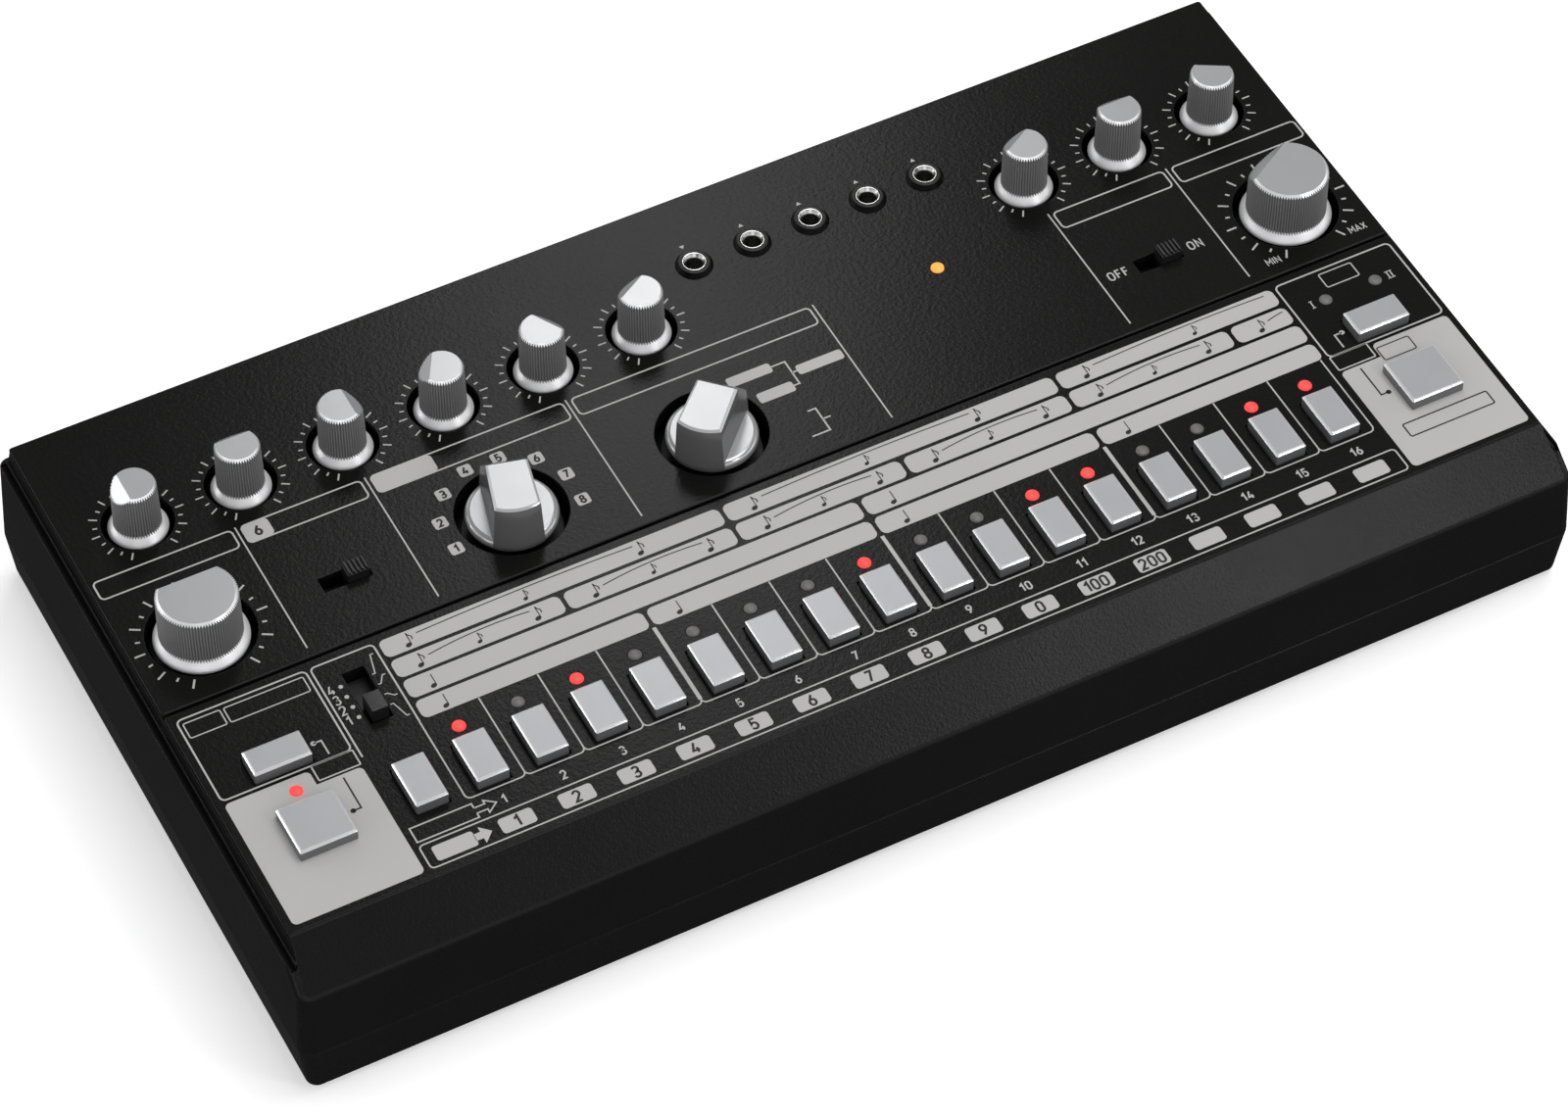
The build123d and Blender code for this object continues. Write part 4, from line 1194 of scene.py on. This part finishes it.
# pale fields left and right, with a notch for the small boxes
def field(x0, x1, y0, y1, notch, side):
    r = 0.09 * PITCH
    X0, X1, Y0, Y1 = px(x0), px(x1), py(y0), py(y1)
    XN, YN = px(notch[0]), py(notch[1])
    def corner(cx, cy, a0):
        return [(cx + r * math.cos(math.radians(a0 + 90 * k / 6)), cy + r * math.sin(math.radians(a0 + 90 * k / 6))) for k in range(7)]
    P = []
    if side < 0:                                  # notch at the top right
        P += corner(X1 - r, YN - r, 0)
        P += [(XN, YN)]
        P += corner(XN - r, Y1 - r, 0)
        P += corner(X0 + r, Y1 - r, 90)
        P += corner(X0 + r, Y0 + r, 180)
        P += corner(X1 - r, Y0 + r, 270)
    else:                                         # notch at the top left
        P += corner(X1 - r, Y1 - r, 0)
        P += corner(XN + r, Y1 - r, 90)
        P += [(XN, YN)]
        P += corner(X0 + r, YN - r, 90)
        P += corner(X0 + r, Y0 + r, 180)
        P += corner(X1 - r, Y0 + r, 270)
    add_poly(P)
field(-3.295, -1.137, -0.011, 2.532, (-1.89, 2.24), -1)
field(16.142, 18.311, -0.011, 2.532, (16.9, 2.24), 1)
L([(-1.479, 2.174), (-1.479, 1.532), (-1.611, 1.532)], 0.028, "k")
disc(px(-1.611), py(1.532), 0.62, "k")
# scale column
L([(-1.057, 2.40), (-1.057, 4.25)], 0.03)
L([(0.005, 2.62), (0.005, 4.25)], 0.03)
arc(px(-1.057 + 0.08), py(4.25), 0.08 * PITCH, -90, 0, 0.03 * PITCH, n=6)
L([(-0.977, 4.33), (-0.075, 4.33)], 0.03)
arc(px(0.005 - 0.08), py(4.25), 0.08 * PITCH, 0, 90, 0.03 * PITCH, n=6)
for k, y in enumerate((3.126, 3.347, 3.568, 3.789)):
    disc(px(-0.779), py(y), 0.50)
    T(str(k + 1), -0.945, y, 0.195, weight=0.135)
for a, b in ((3.789, 4.158), (3.568, 3.711), (3.347, 3.268), (3.126, 2.821)):
    pts = [(-0.247, a), (-0.2, a), (-0.115, b), (-0.063, b)]
    L(pts, 0.02)
# right block
B(16.153, 2.605, 18.311, 4.332, 0.03, 0.09)
B(16.926, 3.932, 17.532, 4.237, 0.022, 0.03)
for xx, n in ((16.505, 1), (17.975, 2)):
    for k in range(n):
        cx = px(xx) + (k - (n - 1) / 2) * 0.9
        stroke([(cx, py(3.716) - 1.0), (cx, py(3.716) + 1.0)], 0.32)
        for yy in (-1.0, 1.0):
            stroke([(cx - 0.42, py(3.716) + yy), (cx + 0.42, py(3.716) + yy)], 0.26)
disc(px(16.616), py(2.979), 0.62)
L([(16.616, 2.979), (16.479, 2.979), (16.479, 2.689)], 0.028)
B(16.153, 2.289, 16.837, 2.595, 0.026, 0.02)
B(16.926, 2.137, 17.52, 2.426, 0.022, 0.03, "k")
B(16.442, 0.553, 18.005, 0.832, 0.026, 0.03, "k")
L([(16.479, 2.174), (16.479, 1.532), (16.616, 1.532)], 0.028, "k")
disc(px(16.616), py(1.532), 0.62, "k")

for layer, key, slot in (("w", "print", "panel_black"), ("k", "print_dark", "panel_black")):
    v, f = ink[layer]
    mesh_object("ink_" + ("pale" if layer == "w" else "dark"), v, f, [M[key]], "unit", smooth=False)


# =====================================================================================
# floor, light, camera
# =====================================================================================
bpy.ops.mesh.primitive_plane_add(size=12, location=(0, 0, 0))
floor = bpy.context.object
floor.name = "floor"
floor.data.materials.append(M["floor"])
floor.location.z = -0.00005
floor.visible_glossy = False


def area(name, loc, target, size, energy, color=(1, 1, 1), size_y=None):
    li = bpy.data.lights.new(name, "AREA")
    li.energy = energy
    li.color = color
    li.size = size
    if size_y:
        li.shape = "RECTANGLE"
        li.size_y = size_y
    o = bpy.data.objects.new(name, li)
    o.location = loc
    o.rotation_euler = (Vector(target) - Vector(loc)).to_track_quat("-Z", "Y").to_euler()
    bpy.context.scene.collection.objects.link(o)
    return o


AIM = (-0.01, 0.0, 0.045)


def around(direction, dist, aim=AIM):
    d = Vector(direction).normalized()
    return tuple(Vector(aim) + d * dist)


LIGHTS = (
    ("key_softbox", (0.239, 0.573, 0.666), (-0.008, 0.0535, 0.0406), 0.17, 0.35, 0.82),
    ("edge_left", (-1.0, 0.68, 0.27), AIM, 0.26, 0.22, 1.0),
    ("front_right", (0.54, -0.898, 0.788), (0.08, -0.076, 0.036), 0.22, 0.3, 2.1),
    ("side_left", (-1.25, -0.15, 0.26), (0.0, 0.0, 0.045), 0.5, 0.28, 0.45),
    ("side_right", (1.2, -0.4, 0.26), (0.0, 0.0, 0.045), 0.5, 0.28, 0.55),
    ("front_left", (-0.57, -1.06, 0.62), (0.0, 0.0, 0.045), 0.6, 0.6, 1.5),
    ("top_soft", (0.4, 0.05, 1.75), (0.0, 0.0, 0.0), 1.2, 1.2, 17.5),
)
for nm, loc, aim, sx, sy, watts in LIGHTS:
    area(nm, loc, aim, sx, watts, size_y=sy)

# a bright horizon all round, a dim ceiling
w = bpy.data.worlds.new("studio")
w.use_nodes = True
wn, wl = w.node_tree.nodes, w.node_tree.links
tc = wn.new("ShaderNodeTexCoord")
sp = wn.new("ShaderNodeSeparateXYZ")
wl.new(tc.outputs["Generated"], sp.inputs[0])
mr = wn.new("ShaderNodeMapRange")
mr.inputs["From Min"].default_value = -1.0
mr.inputs["From Max"].default_value = 1.0
wl.new(sp.outputs["Z"], mr.inputs["Value"])
cr = wn.new("ShaderNodeValToRGB")
e = cr.color_ramp.elements
WORLD = ((0.0, 0.05), (0.43, 0.08), (0.48, 0.7), (0.505, 1.2), (0.66, 1.2), (0.76, 0.36), (0.82, 0.24), (1.0, 0.24))
while len(e) < len(WORLD):
    e.new(0.5)
for k, (p, c) in enumerate(WORLD):
    e[k].position = p
    e[k].color = (c, c, c, 1)
wl.new(mr.outputs["Result"], cr.inputs["Fac"])
wl.new(cr.outputs["Color"], wn["Background"].inputs["Color"])
dp = wn.new("ShaderNodeVectorMath")
dp.operation = "DOT_PRODUCT"
dp.inputs[1].default_value = (0.80, 0.59, 0.05)
wl.new(tc.outputs["Generated"], dp.inputs[0])
dm = wn.new("ShaderNodeMapRange")
dm.interpolation_type = "SMOOTHSTEP"
dm.inputs["From Min"].default_value = 0.76
dm.inputs["From Max"].default_value = 0.94
dm.inputs["To Min"].default_value = 1.0
dm.inputs["To Max"].default_value = 0.25
wl.new(dp.outputs["Value"], dm.inputs["Value"])
wl.new(dm.outputs["Result"], wn["Background"].inputs["Strength"])
bpy.context.scene.world = w
bpy.context.scene.view_settings.view_transform = "Standard"

cam = bpy.data.cameras.new("camera")
cam.sensor_fit = "HORIZONTAL"
cam.sensor_width = 36.0
cam.lens = 130.6308
cam.clip_start = 0.05
cam.clip_end = 30
co = bpy.data.objects.new("camera", cam)
bpy.context.scene.collection.objects.link(co)
CAM_ROWS = ((0.88633277, -0.46304746, 0.00112828), (-0.35461689, -0.68034546, -0.64138671), (0.29776011, 0.56808195, -0.76721693))
right, down, fwd = (Vector(r) for r in CAM_ROWS)
m3 = Matrix((right, -down, -fwd)).transposed()
m4 = m3.to_4x4()
m4.translation = Vector((-0.374134, -0.715274, 0.966942))
co.matrix_world = m4
bpy.context.scene.camera = co

bpy.context.view_layer.update()
